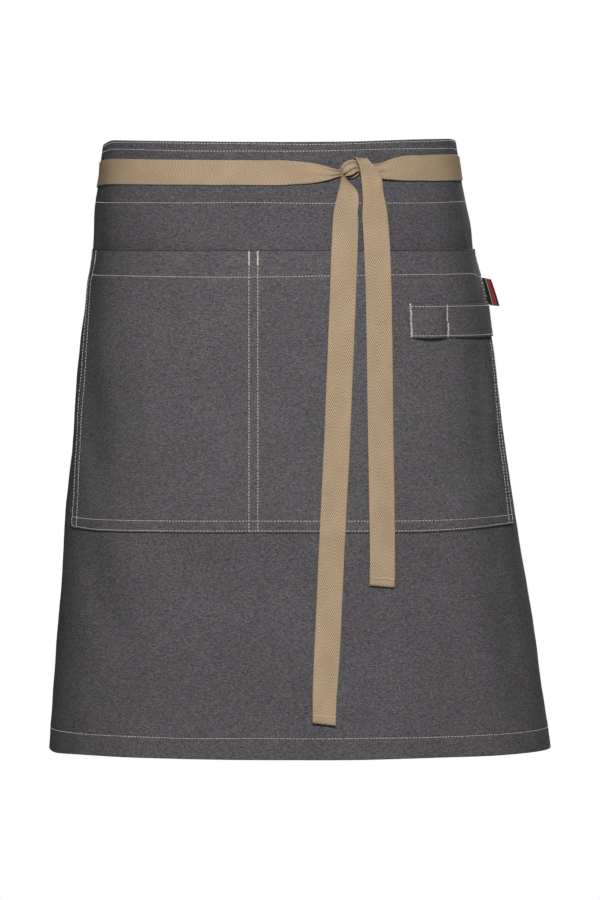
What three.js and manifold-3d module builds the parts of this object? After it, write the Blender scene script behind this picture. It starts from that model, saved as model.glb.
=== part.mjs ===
// Waist apron of dark chambray with a waistband facing, a divided patch pocket, a strip of tool loops,
// a side label and two khaki tie tapes knotted at the front. It has the form that it takes when worn.
// Millimetres, +Z up, the front faces -Y and +X is the viewer's right.
// The origin is the middle of the waist, at the height of the tie tapes.
// A point on the cloth is given by its place on the flat cut: across, measured round the body from the front
// centre line (viewer's right positive), down from the top edge, and lift, outwards from the panel's inner face.

import * as THREE from "three";
import { mergeVertices } from "three/addons/utils/BufferGeometryUtils.js";
import Module from "manifold-3d";

// Flat cut of the apron
const APRON_WIDTH = 800;
const APRON_LENGTH = 600;
const CLOTH = 1; // one layer
const GAP = 0.3; // between layers that are sewn together
const APRON_TURN = 11; // the apron's middle sits this far round from the front centre line
const FACING_DEPTH = 62.5;
const FACING_INSET = 1.5; // the facing rolls in under the top edge
const BOTTOM_HEM = 21.5;
const SIDE_HEM = 12;

// The body that the apron is worn on
const WAIST_WIDTH = 346.6;
const WAIST_DEPTH = 244;
const WAIST_SQUARENESS = 2.4; // 2 is an ellipse, more is flatter at the front
const HEM_FLARE_LEFT = 53.5; // how much further out than the waist the bottom hem lies
const HEM_FLARE_RIGHT = 94.5;
const HEM_FLARE_DEPTH = 43;
const EDGE_DIP = 2; // how far the top edge sags at the front centre line

// Patch pocket
const POCKET_DROP = 107.5; // top edge of the apron to the pocket's mouth
const POCKET_HEIGHT = 274.5;
const POCKET_LEFT = 240; // front centre line to the pocket's edges
const POCKET_RIGHT = 264;
const POCKET_HEM = 25; // folded in at the mouth
const POCKET_MARGIN = 10.5; // folded under at the other three edges
const POCKET_SEAM = -24.7; // the seam that divides it
const SEAM_WIDTH = 8.6; // between the seam's two rows of stitches
const SEAM_SHOULDER = 14; // over which the cloth rises beside the seam
const POCKET_EASE = 9; // how far each compartment stands open at the mouth

// Strip of tool loops
const LOOPS_DROP = 160;
const LOOPS_HEIGHT = 33;
const LOOPS_LEFT = 125; // front centre line to the first bar tack
const LOOP_WIDTH = 40.5; // first loop, from bar tack to bar tack
const LOOP_EASE = 8.5; // how far a loop stands off the pocket
const TACK_WIDTH = 3;
const LOOP_THICKNESS = 1.5; // a folded strip, pressed flat

// Side label, a folded ribbon
const LABEL_DROP = 136;
const LABEL_HEIGHT = 26;
const LABEL_LENGTH = 15;
const LABEL_THICKNESS = 1.6;
const LABEL_SWING = 42; // degrees that it stands away from the cloth

// Tie tapes
const TAPE_WIDTH = 25;
const TAPE_THICKNESS = 1.2;
const TAPE_CLEARANCE = 0.8; // between a tape and the cloth that it lies on
const TAPE_DROP = 32.5; // top edge of the apron to the middle of the tape at the front
const ROOT_DROP = 14; // top edge to the middle of a tape where it is sewn on
const ROOT_LENGTH = 25; // the sewn end
const BACK_DROP = 41; // top edge to the middle of a tape where it passes the other side edge
const TAIL_HEM = 10; // folded back at a tape's free end
const LEFT_TAIL_END = 565.5; // top edge to the free ends
const RIGHT_TAIL_END = 434;
const KNOT_ACROSS = 68.5;
const KNOT_DOWN = 26.3;

// How finely the cloth is faceted
const FRONT_COLUMN = 24;
const SIDE_COLUMN = 14;
const SIDE_FROM = 150;
const ROW = 56;
const LOOP_COLUMN = 6;
const TAIL_STEP = 24;
const LEAST_STEP = 4;
const RING_STEPS = 160;

const COLOURS = {
  cloth: { color: 0x54525a, roughness: 0.92, metalness: 0 },
  facing: { color: 0x4e4c54, roughness: 0.93, metalness: 0 },
  tape: { color: 0xa8906e, roughness: 0.88, metalness: 0 },
  label: { color: 0x17171a, roughness: 0.7, metalness: 0 },
};

// The form of the worn apron, a row for each level: down as a share of the length, the others as shares of
// the flares at the hem and of the sag at the top edge.
const LEVELS = [
  { down: 0, left: 0, right: 0, depth: 0, dip: 1 },
  { down: 0.09, left: 0.12, right: 0.092, depth: 0.16, dip: 0.3 },
  { down: 0.18, left: 0.188, right: 0.165, depth: 0.34, dip: -0.4 },
  { down: 0.21, left: 0.232, right: 0.215, depth: 0.4, dip: -0.45 },
  { down: 0.24, left: 0.275, right: 0.275, depth: 0.45, dip: -0.5 },
  { down: 0.27, left: 0.315, right: 0.308, depth: 0.49, dip: -0.51 },
  { down: 0.36, left: 0.435, right: 0.385, depth: 0.6, dip: -0.55 },
  { down: 0.62, left: 0.69, right: 0.63, depth: 0.8, dip: -0.8 },
  { down: 0.8, left: 0.845, right: 0.815, depth: 0.9, dip: -0.5 },
  { down: 1, left: 1, right: 1, depth: 1, dip: 0 },
];

// Soft folds, a row for each: its middle, width and rise as shares of half the apron's width, down and
// tall as shares of its length, and slant, how far it moves across for each millimetre down.
const FOLDS = [
  { across: -0.5, down: 0.46, wide: 0.055, tall: 0.15, slant: 0.1, rise: -0.008 },
  { across: -0.44, down: 0.76, wide: 0.06, tall: 0.13, slant: 0.45, rise: -0.008 },
  { across: 0.54, down: 0.46, wide: 0.045, tall: 0.12, slant: 0.05, rise: -0.007 },
  { across: 0.6, down: 0.78, wide: 0.07, tall: 0.2, slant: 0.12, rise: -0.009 },
  { across: 0.37, down: 0.15, wide: 0.03, tall: 0.05, slant: 0, rise: -0.004 },
  { across: 0.16, down: 1, wide: 0.1, tall: 0.14, slant: 0, rise: 0.008 },
  { across: 0.4, down: 1, wide: 0.08, tall: 0.16, slant: 0, rise: -0.008 },
  { across: -0.28, down: 1, wide: 0.1, tall: 0.12, slant: 0, rise: -0.006 },
  { across: -0.94, down: 1, wide: 0.07, tall: 0.42, slant: 0, rise: -0.013 },
  { across: 1.01, down: 1, wide: 0.07, tall: 0.42, slant: 0, rise: -0.013 },
];

// The tapes in the knot, a row for each bend. Along, down, lift and wide are shares of the tape's width,
// measured from the knot's middle and the panel's face, thick is a share of its thickness, since the tape
// is bunched up there, and turn is the direction of its width: 90 is upright and 0 level.
const LEFT_TAPE_IN_KNOT = [
  { along: -2.1, down: 0.18, lift: 0.11, wide: 0.92, thick: 1, turn: 90 },
  { along: -1.32, down: 0.2, lift: 0.11, wide: 0.76, thick: 1.1, turn: 90 },
  { along: -0.8, down: 0.21, lift: 0.11, wide: 0.5, thick: 1.4, turn: 90 },
  { along: -0.47, down: 0.17, lift: 0.11, wide: 0.28, thick: 1.9, turn: 90 },
  { along: -0.19, down: 0.09, lift: 0.12, wide: 0.28, thick: 2.1, turn: 84 },
  { along: 0.04, down: 0.01, lift: 0.13, wide: 0.36, thick: 2.1, turn: 68 },
  { along: 0.22, down: -0.12, lift: 0.13, wide: 0.42, thick: 2.1, turn: 42 },
  { along: 0.34, down: -0.28, lift: 0.15, wide: 0.5, thick: 1.9, turn: 16 },
  { along: 0.42, down: -0.4, lift: 0.25, wide: 0.56, thick: 1.7, turn: 5 },
  { along: 0.5, down: -0.36, lift: 0.38, wide: 0.63, thick: 1.5, turn: 0 },
  { along: 0.61, down: -0.18, lift: 0.42, wide: 0.72, thick: 1.3, turn: -3 },
  { along: 0.72, down: 0.1, lift: 0.4, wide: 0.8, thick: 1.1, turn: -4 },
  { along: 0.8, down: 0.5, lift: 0.34, wide: 0.85, thick: 1, turn: -4 },
  { along: 0.86, down: 1.04, lift: 0.3, wide: 0.88, thick: 1, turn: -4 },
];
const RIGHT_TAPE_IN_KNOT = [
  { along: 3.1, down: 0.05, lift: 0.11, wide: 0.97, thick: 1, turn: 90 },
  { along: 2.14, down: 0.05, lift: 0.12, wide: 0.94, thick: 1, turn: 90 },
  { along: 1.63, down: 0.08, lift: 0.14, wide: 0.8, thick: 1.15, turn: 90 },
  { along: 1.16, down: 0.13, lift: 0.17, wide: 0.6, thick: 1.5, turn: 90 },
  { along: 0.7, down: 0.06, lift: 0.22, wide: 0.48, thick: 1.8, turn: 88 },
  { along: 0.38, down: -0.05, lift: 0.3, wide: 0.48, thick: 2, turn: 74 },
  { along: 0.1, down: -0.11, lift: 0.38, wide: 0.52, thick: 2, turn: 54 },
  { along: -0.06, down: 0.02, lift: 0.4, wide: 0.54, thick: 2, turn: 34 },
  { along: -0.07, down: 0.22, lift: 0.32, wide: 0.44, thick: 2, turn: 22 },
  { along: -0.05, down: 0.37, lift: 0.2, wide: 0.32, thick: 2, turn: 26 },
  { along: -0.16, down: 0.42, lift: 0.14, wide: 0.26, thick: 1.9, turn: 48 },
  { along: -0.27, down: 0.47, lift: 0.13, wide: 0.25, thick: 1.8, turn: 28 },
  { along: -0.27, down: 0.63, lift: 0.14, wide: 0.4, thick: 1.6, turn: 4 },
  { along: -0.18, down: 0.86, lift: 0.15, wide: 0.72, thick: 1.3, turn: 0 },
  { along: -0.12, down: 1.17, lift: 0.17, wide: 0.94, thick: 1.1, turn: 0 },
];
// The free tails, a row for each bend: along and twist as above, and down as a share of the way from the
// knot's last bend to the free end.
const LEFT_TAIL = [
  { down: 0, along: -0.14, turn: 1 },
  { down: 0.1, along: -0.26, turn: 2 },
  { down: 0.2, along: -0.32, turn: 2 },
  { down: 0.46, along: -0.51, turn: 4 },
  { down: 0.67, along: -0.7, turn: 4 },
  { down: 0.84, along: -0.85, turn: 5 },
  { down: 0.95, along: -0.98, turn: 6 },
  { down: 1, along: -1, turn: 7 },
];
const RIGHT_TAIL = [
  { down: 0, along: 0.9, turn: -4 },
  { down: 0.1, along: 0.95, turn: -3 },
  { down: 0.27, along: 1.05, turn: -2 },
  { down: 0.63, along: 1.17, turn: -1 },
  { down: 0.91, along: 1.28, turn: 1 },
  { down: 1, along: 1.26, turn: 5 },
];

const wasm = await Module();
wasm.setup();

// Straight-line values between the rows of a table
function between(rows, key, at, column) {
  let i = 1;
  while (i < rows.length - 1 && rows[i][key] < at) i += 1;
  const low = rows[i - 1];
  const high = rows[i];
  const share = (at - low[key]) / (high[key] - low[key]);
  return low[column] + (high[column] - low[column]) * share;
}

function smooth(share) {
  const held = Math.min(1, Math.max(0, share));
  return held * held * (3 - 2 * held);
}

// One side of the body's outline at a level, from the front centre line to the back one
function sideOutline(reach, depth) {
  const power = 2 / WAIST_SQUARENESS;
  const points = [];
  let length = 0;
  for (let i = 0; i <= RING_STEPS; i += 1) {
    const angle = (Math.PI * i) / RING_STEPS;
    const x = reach * Math.abs(Math.sin(angle)) ** power;
    const y = -depth * Math.sign(Math.cos(angle)) * Math.abs(Math.cos(angle)) ** power;
    if (i > 0) length += Math.hypot(x - points[i - 1].x, y - points[i - 1].y);
    points.push({ x, y, length });
  }
  return { reach, depth, points, length };
}

const outlines = new Map();
function outlineAt(side, down) {
  const key = side + down.toFixed(3);
  if (!outlines.has(key)) {
    const share = down / APRON_LENGTH;
    const flare = side === "left" ? HEM_FLARE_LEFT : HEM_FLARE_RIGHT;
    const reach = WAIST_WIDTH / 2 + flare * between(LEVELS, "down", share, side);
    const depth = WAIST_DEPTH / 2 + HEM_FLARE_DEPTH * between(LEVELS, "down", share, "depth");
    outlines.set(key, sideOutline(reach, depth));
  }
  return outlines.get(key);
}

function sideOf(across) {
  return across < 0 ? "left" : "right";
}

function foldRise(across, down) {
  const half = APRON_WIDTH / 2;
  let rise = 0;
  for (const fold of FOLDS) {
    const below = down - fold.down * APRON_LENGTH;
    const beside = across - fold.across * half - fold.slant * below;
    const near = (beside / (fold.wide * half)) ** 2 + (below / (fold.tall * APRON_LENGTH)) ** 2;
    rise += fold.rise * half * Math.exp(-near);
  }
  return rise;
}

// The point and the outward direction on the body for a place on the flat cut
function place(across, down, lift) {
  const side = sideOf(across);
  const outline = outlineAt(side, down);
  const sign = across < 0 ? -1 : 1;
  const past = Math.abs(across) - outline.length;
  if (past > 0) {
    const other = outlineAt(side === "left" ? "right" : "left", down);
    return place(-sign * (other.length - past), down, lift);
  }
  const wanted = Math.abs(across);
  let i = 1;
  while (i < RING_STEPS && outline.points[i].length < wanted) i += 1;
  const a = outline.points[i - 1];
  const b = outline.points[i];
  const share = (wanted - a.length) / (b.length - a.length);
  const x = a.x + (b.x - a.x) * share;
  const y = a.y + (b.y - a.y) * share;
  const steep = WAIST_SQUARENESS - 1;
  const nx = Math.abs(x / outline.reach) ** steep / outline.reach;
  const ny = (Math.sign(y) * Math.abs(y / outline.depth) ** steep) / outline.depth;
  const size = Math.hypot(nx, ny);
  const out = lift + foldRise(across, down);
  const quarter = outline.length / 2;
  const inFront = wanted < quarter ? (1 + Math.cos((Math.PI * wanted) / quarter)) / 2 : 0;
  const dip = EDGE_DIP * between(LEVELS, "down", down / APRON_LENGTH, "dip") * inFront;
  return new THREE.Vector3(
    sign * (x + (nx / size) * out),
    y + (ny / size) * out,
    TAPE_DROP - down - dip,
  );
}

// Directions on the cloth at a place: across, down and outwards
function directions(across, down) {
  const reach = TAPE_WIDTH / 2;
  const downwards = place(across, down + reach, 0).sub(place(across, down - reach, 0)).normalize();
  const straightOut = place(across, down, 1).sub(place(across, down, 0));
  const sideways = new THREE.Vector3().crossVectors(straightOut, downwards).normalize();
  const outwards = new THREE.Vector3().crossVectors(downwards, sideways).normalize();
  return { sideways, downwards, outwards };
}

const PANEL_LEFT = APRON_TURN - APRON_WIDTH / 2;
const PANEL_RIGHT = APRON_TURN + APRON_WIDTH / 2;
const POCKET_BOTTOM = POCKET_DROP + POCKET_HEIGHT;
const LOOPS_BOTTOM = LOOPS_DROP + LOOPS_HEIGHT;
const LOOPS_MIDDLE = LOOPS_LEFT + LOOP_WIDTH;

// The lines on the flat cut along which all the pieces are faceted, so that layers follow each other
function ruled(low, high, marks, stepAt) {
  const inside = marks.filter((m) => m > low && m < high);
  const fixed = [low, ...inside, high];
  const lines = new Set(fixed);
  for (let at = low + stepAt(low); at < high; at += stepAt(at)) {
    const clear = fixed.every((m) => Math.abs(m - at) > LEAST_STEP);
    if (clear) lines.add(at);
  }
  return [...lines].sort((a, b) => a - b);
}

const ACROSS_LINES = ruled(
  PANEL_LEFT,
  PANEL_RIGHT,
  [
    PANEL_LEFT + SIDE_HEM,
    PANEL_LEFT + ROOT_LENGTH,
    PANEL_RIGHT - ROOT_LENGTH,
    PANEL_RIGHT - SIDE_HEM,
    -POCKET_LEFT,
    -POCKET_LEFT + POCKET_MARGIN,
    POCKET_SEAM - SEAM_WIDTH / 2 - SEAM_SHOULDER,
    POCKET_SEAM - SEAM_WIDTH / 2,
    POCKET_SEAM + SEAM_WIDTH / 2,
    POCKET_SEAM + SEAM_WIDTH / 2 + SEAM_SHOULDER,
    POCKET_RIGHT - POCKET_MARGIN,
    POCKET_RIGHT,
  ],
  (at) => (Math.abs(at) < SIDE_FROM ? FRONT_COLUMN : SIDE_COLUMN),
);
const DOWN_LINES = ruled(
  0,
  APRON_LENGTH,
  [
    FACING_INSET,
    FACING_DEPTH,
    POCKET_DROP,
    POCKET_DROP + POCKET_HEM,
    LOOPS_DROP,
    LOOPS_BOTTOM,
    POCKET_BOTTOM - POCKET_MARGIN,
    POCKET_BOTTOM,
    APRON_LENGTH - BOTTOM_HEM,
  ],
  () => ROW,
);

function within(lines, low, high) {
  return lines.filter((at) => at >= low && at <= high);
}

// A closed solid between two faces that are given by their lifts over a grid on the flat cut
function layer(acrossLines, downLines, innerLift, outerLift) {
  const columns = acrossLines.length;
  const rows = downLines.length;
  const vertices = [];
  for (const liftAt of [outerLift, innerLift]) {
    for (const down of downLines) {
      for (const across of acrossLines) {
        vertices.push(...place(across, down, liftAt(across, down)).toArray());
      }
    }
  }
  const outer = (i, j) => j * columns + i;
  const inner = (i, j) => columns * rows + outer(i, j);
  const faces = [];
  const quad = (a, b, c, d) => faces.push(a, b, c, a, c, d);
  for (let j = 0; j < rows - 1; j += 1) {
    for (let i = 0; i < columns - 1; i += 1) {
      quad(outer(i, j), outer(i, j + 1), outer(i + 1, j + 1), outer(i + 1, j));
      quad(inner(i, j), inner(i + 1, j), inner(i + 1, j + 1), inner(i, j + 1));
    }
    quad(inner(0, j), inner(0, j + 1), outer(0, j + 1), outer(0, j));
    const last = columns - 1;
    quad(outer(last, j), outer(last, j + 1), inner(last, j + 1), inner(last, j));
  }
  for (let i = 0; i < columns - 1; i += 1) {
    quad(inner(i, 0), outer(i, 0), outer(i + 1, 0), inner(i + 1, 0));
    const last = rows - 1;
    quad(outer(i, last), inner(i, last), inner(i + 1, last), outer(i + 1, last));
  }
  return closed(vertices, faces);
}

function closed(vertices, faces) {
  const geometry = new THREE.BufferGeometry();
  geometry.setAttribute("position", new THREE.Float32BufferAttribute(vertices, 3));
  geometry.setIndex(faces);
  return geometry;
}

function node(name, geometry, finish) {
  const shaded = geometry.index ? geometry.toNonIndexed() : geometry;
  shaded.computeVertexNormals();
  const mesh = new THREE.Mesh(shaded, new THREE.MeshStandardMaterial(COLOURS[finish]));
  mesh.name = name;
  return mesh;
}

// Apron panel, with its bottom and side hems folded in
function makePanel() {
  const innerLift = (across, down) => {
    const inBottomHem = down > APRON_LENGTH - BOTTOM_HEM;
    const inSideHem =
      down > FACING_DEPTH && (across < PANEL_LEFT + SIDE_HEM || across > PANEL_RIGHT - SIDE_HEM);
    return inBottomHem || inSideHem ? -CLOTH : 0;
  };
  return layer(ACROSS_LINES, DOWN_LINES, innerLift, () => CLOTH);
}

// Waistband facing, inside the top of the panel
function makeFacing() {
  const rows = within(DOWN_LINES, FACING_INSET, FACING_DEPTH);
  return layer(ACROSS_LINES, rows, () => -GAP - CLOTH, () => -GAP);
}

// How far the pocket's cloth stands off its sewn level
function pocketPuff(across, down) {
  const fromSeam = Math.abs(across - POCKET_SEAM) - SEAM_WIDTH / 2;
  const shoulder = smooth(fromSeam / SEAM_SHOULDER);
  const leftSide = across < POCKET_SEAM;
  const low = leftSide ? -POCKET_LEFT + POCKET_MARGIN : POCKET_SEAM + SEAM_WIDTH / 2;
  const high = leftSide ? POCKET_SEAM - SEAM_WIDTH / 2 : POCKET_RIGHT - POCKET_MARGIN;
  const share = Math.min(1, Math.max(0, (across - low) / (high - low)));
  const fromMouth = (down - POCKET_DROP) / (POCKET_HEIGHT - POCKET_MARGIN);
  const slack = Math.cos((Math.PI / 2) * Math.min(1, Math.max(0, fromMouth)));
  return CLOTH * shoulder + POCKET_EASE * Math.sin(Math.PI * share) * slack;
}

const POCKET_LEVEL = CLOTH + GAP;
function pocketOuter(across, down) {
  return POCKET_LEVEL + CLOTH + pocketPuff(across, down);
}

// Patch pocket, double at its folded edges
function makePocket() {
  const columns = within(ACROSS_LINES, -POCKET_LEFT, POCKET_RIGHT);
  const rows = within(DOWN_LINES, POCKET_DROP, POCKET_BOTTOM);
  const innerLift = (across, down) => {
    const folded =
      across < -POCKET_LEFT + POCKET_MARGIN ||
      across > POCKET_RIGHT - POCKET_MARGIN ||
      down > POCKET_BOTTOM - POCKET_MARGIN ||
      down < POCKET_DROP + POCKET_HEM;
    const puff = pocketPuff(across, down);
    return POCKET_LEVEL + (folded ? Math.max(0, puff - CLOTH) : puff);
  };
  return layer(columns, rows, innerLift, pocketOuter);
}

// Strip of two tool loops, sewn down at its ends and between the loops
function loopPuff(across) {
  const loops = [
    [LOOPS_LEFT + TACK_WIDTH, LOOPS_MIDDLE - TACK_WIDTH / 2],
    [LOOPS_MIDDLE + TACK_WIDTH / 2, POCKET_RIGHT - POCKET_MARGIN],
  ];
  for (const [low, high] of loops) {
    if (across > low && across < high) {
      return LOOP_EASE * Math.sin((Math.PI * (across - low)) / (high - low)) ** 0.7;
    }
  }
  return 0;
}

function makeLoops() {
  const marks = [
    ...within(ACROSS_LINES, LOOPS_LEFT, POCKET_RIGHT),
    LOOPS_LEFT + TACK_WIDTH,
    LOOPS_MIDDLE - TACK_WIDTH / 2,
    LOOPS_MIDDLE + TACK_WIDTH / 2,
  ];
  const columns = ruled(LOOPS_LEFT, POCKET_RIGHT, marks, () => LOOP_COLUMN);
  const rows = within(DOWN_LINES, LOOPS_DROP, LOOPS_BOTTOM);
  const innerLift = (across, down) => pocketOuter(across, down) + GAP + loopPuff(across);
  return layer(columns, rows, innerLift, (a, d) => innerLift(a, d) + LOOP_THICKNESS);
}

// Side label, a tab that springs away from the cloth beside the pocket's edge
function makeLabel() {
  const swing = THREE.MathUtils.degToRad(LABEL_SWING);
  const root = POCKET_RIGHT + GAP + LABEL_THICKNESS;
  const vertices = [];
  for (const thick of [0, LABEL_THICKNESS]) {
    for (const down of [LABEL_DROP, LABEL_DROP + LABEL_HEIGHT]) {
      const { sideways, outwards } = directions(root, down);
      for (const long of [0, LABEL_LENGTH]) {
        const p = place(root, down, CLOTH + GAP);
        p.addScaledVector(sideways, long * Math.cos(swing) - thick * Math.sin(swing));
        p.addScaledVector(outwards, long * Math.sin(swing) + thick * Math.cos(swing));
        vertices.push(...p.toArray());
      }
    }
  }
  const faces = [
    [4, 6, 7, 5],
    [0, 1, 3, 2],
    [0, 2, 6, 4],
    [1, 5, 7, 3],
    [0, 4, 5, 1],
    [2, 3, 7, 6],
  ].flatMap(([a, b, c, d]) => [a, b, c, a, c, d]);
  return closed(vertices, faces);
}

// The outermost cloth at a place on the front
function frontLift(across, down) {
  const onPocket =
    across > -POCKET_LEFT && across < POCKET_RIGHT && down > POCKET_DROP && down < POCKET_BOTTOM;
  return onPocket ? pocketOuter(across, down) : CLOTH;
}

// One bend of a tape's route: its middle, the direction of its width, its width and its thickness
function bend(across, down, lift, turn, width, thickness) {
  const { sideways, downwards, outwards } = directions(across, down);
  const angle = THREE.MathUtils.degToRad(turn);
  const side = sideways.multiplyScalar(Math.cos(angle));
  side.addScaledVector(downwards, Math.sin(angle));
  return { middle: place(across, down, lift), side, outwards, width, thickness };
}

// The route of a tape round the body: sewn inside one side edge of the apron, across the open back, over
// the other side edge and round to the front. Sign is -1 for the tape seen on the viewer's left.
function bandRoute(sign, knotEnd) {
  const start = sign < 0 ? PANEL_RIGHT : PANEL_LEFT;
  const over = sign < 0 ? PANEL_LEFT : PANEL_RIGHT;
  const rootLift = -GAP - CLOTH - TAPE_CLEARANCE - TAPE_THICKNESS / 2;
  const onCloth = CLOTH + TAPE_CLEARANCE + TAPE_THICKNESS / 2;
  const crossLift = sign < 0 ? 0 : TAPE_THICKNESS + TAPE_CLEARANCE;
  const route = [];
  const band = (across, down, lift) =>
    route.push(bend(across, down, lift, 90, TAPE_WIDTH, TAPE_THICKNESS));
  const sewn = ACROSS_LINES.filter((at) => Math.abs(at - start) < ROOT_LENGTH + GAP);
  if (sign > 0) sewn.reverse();
  for (const across of sewn) band(across, ROOT_DROP, rootLift);
  const startLength = outlineAt(sideOf(start), TAPE_DROP).length - Math.abs(start);
  const overLength = outlineAt(sideOf(over), TAPE_DROP).length - Math.abs(over);
  const opening = startLength + overLength;
  const steps = 16;
  for (let i = 1; i < steps; i += 1) {
    const share = i / steps;
    const way = opening * share;
    const down = ROOT_DROP + (BACK_DROP - ROOT_DROP) * smooth((share - 0.2) / 0.6);
    const before = rootLift + (crossLift - rootLift) * smooth((share - 0.08) / 0.25);
    const lift = before + (onCloth - crossLift) * smooth((share - 0.72) / 0.2);
    if (way < startLength) {
      const length = outlineAt(sideOf(start), down).length;
      band(-sign * (length - startLength + way), down, lift);
    } else {
      const length = outlineAt(sideOf(over), down).length;
      band(sign * (length + startLength - way), down, lift);
    }
  }
  const last = KNOT_ACROSS + knotEnd.along * TAPE_WIDTH;
  const lines = ACROSS_LINES.filter((at) => (sign < 0 ? at < last - LEAST_STEP : at > last + LEAST_STEP));
  if (sign > 0) lines.reverse();
  const endDown = KNOT_DOWN + knotEnd.down * TAPE_WIDTH;
  for (const across of lines) {
    const share = (across - over) / (last - over);
    const down = BACK_DROP + (endDown - BACK_DROP) * smooth(share / 0.55);
    const atKnot = knotEnd.lift * TAPE_WIDTH;
    band(across, down, onCloth + (atKnot - onCloth) * smooth((share - 0.8) / 0.2));
  }
  return route;
}

function knotRoute(rows) {
  return rows.map((row) =>
    bend(
      KNOT_ACROSS + row.along * TAPE_WIDTH,
      KNOT_DOWN + row.down * TAPE_WIDTH,
      row.lift * TAPE_WIDTH,
      row.turn,
      row.wide * TAPE_WIDTH,
      row.thick * TAPE_THICKNESS,
    ),
  );
}

// A tail that hangs from the knot and lies on the front of the apron, with its end folded back
function tailRoute(rows, knotEnd, end) {
  const start = KNOT_DOWN + knotEnd.down * TAPE_WIDTH;
  const startLift = knotEnd.lift * TAPE_WIDTH;
  const marks = [POCKET_DROP - 3, POCKET_DROP, POCKET_BOTTOM, POCKET_BOTTOM + 12, end - TAIL_HEM];
  const stops = ruled(start, end, marks, () => TAIL_STEP).slice(1);
  return stops.map((down) => {
    const share = (down - start) / (end - start);
    const across = KNOT_ACROSS + between(rows, "down", share, "along") * TAPE_WIDTH;
    const turn = between(rows, "down", share, "turn");
    const grown = smooth((down - start) / TAPE_WIDTH);
    const width = TAPE_WIDTH * (knotEnd.wide + (1 - knotEnd.wide) * grown);
    const thickness = down > end - TAIL_HEM ? 2 * TAPE_THICKNESS : TAPE_THICKNESS;
    const reached = Math.min(Math.max(down, POCKET_DROP + 1), POCKET_BOTTOM - POCKET_MARGIN);
    const onPocket = pocketOuter(across, reached);
    const falling = smooth((down - POCKET_BOTTOM) / 12);
    const under = onPocket + (CLOTH - onPocket) * falling;
    const rest = under + TAPE_CLEARANCE + thickness / 2;
    const hanging = smooth((down - start) / (POCKET_DROP - start));
    return bend(across, down, startLift + (rest - startLift) * hanging, turn, width, thickness);
  });
}

// A closed strip through the bends of a route, grown on every side by a margin
function strip(route, margin) {
  const vertices = [];
  route.forEach((stop, i) => {
    const ahead = route[Math.min(route.length - 1, i + 1)].middle;
    const behind = route[Math.max(0, i - 1)].middle;
    const forward = ahead.clone().sub(behind).normalize();
    const side = stop.side.clone().addScaledVector(forward, -stop.side.dot(forward)).normalize();
    const face = new THREE.Vector3().crossVectors(forward, side);
    const end = i === 0 ? -margin : i === route.length - 1 ? margin : 0;
    const middle = stop.middle.clone().addScaledVector(forward, end);
    for (const [a, b] of [[1, 1], [-1, 1], [-1, -1], [1, -1]]) {
      const corner = middle.clone().addScaledVector(side, a * (stop.width / 2 + margin));
      corner.addScaledVector(face, b * (stop.thickness / 2 + margin));
      vertices.push(...corner.toArray());
    }
  });
  const faces = [0, 2, 1, 0, 3, 2];
  for (let i = 0; i < route.length - 1; i += 1) {
    for (let k = 0; k < 4; k += 1) {
      const a = i * 4 + k;
      const b = i * 4 + ((k + 1) % 4);
      faces.push(a, b, b + 4, a, b + 4, a + 4);
    }
  }
  const last = (route.length - 1) * 4;
  faces.push(last, last + 1, last + 2, last, last + 2, last + 3);
  return closed(vertices, faces);
}

function solid(geometry) {
  const bare = new THREE.BufferGeometry();
  bare.setAttribute("position", geometry.getAttribute("position"));
  bare.setIndex(geometry.index);
  const merged = mergeVertices(bare, 1e-4);
  const mesh = new wasm.Mesh({
    numProp: 3,
    vertProperties: merged.getAttribute("position").array,
    triVerts: new Uint32Array(merged.index.array),
  });
  return new wasm.Manifold(mesh);
}

function geometryOf(manifold) {
  const mesh = manifold.getMesh();
  return closed([...mesh.vertProperties], [...mesh.triVerts]);
}

const leftRoute = [
  ...bandRoute(-1, LEFT_TAPE_IN_KNOT[0]),
  ...knotRoute(LEFT_TAPE_IN_KNOT),
  ...tailRoute(RIGHT_TAIL, LEFT_TAPE_IN_KNOT.at(-1), RIGHT_TAIL_END),
];
const rightRoute = [
  ...bandRoute(1, RIGHT_TAPE_IN_KNOT[0]),
  ...knotRoute(RIGHT_TAPE_IN_KNOT),
  ...tailRoute(LEFT_TAIL, RIGHT_TAPE_IN_KNOT.at(-1), LEFT_TAIL_END),
];

const apron = new THREE.Group();
apron.add(node("apron_panel", makePanel(), "cloth"));
apron.add(node("waistband_facing", makeFacing(), "facing"));
apron.add(node("front_pocket", makePocket(), "cloth"));
apron.add(node("tool_loops", makeLoops(), "cloth"));
apron.add(node("side_label", makeLabel(), "label"));
apron.add(node("tie_tape_left", strip(leftRoute, 0), "tape"));
apron.add(node("tie_tape_right", geometryOf(solid(strip(rightRoute, 0)).subtract(solid(strip(leftRoute, GAP)))), "tape"));

export default apron;
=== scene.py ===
"""Waist apron of dark chambray with a divided patch pocket, a strip of tool loops, a side label and two khaki
tie tapes knotted at the front, as it is worn. Metres, +Z up, the front faces -Y, +X is the viewer's right.

A point on the cloth is given by its place on the flat cut: across, round the form from the front centre
line, down from the top edge, and lift, outwards from the panel's inner face."""

import math

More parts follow.
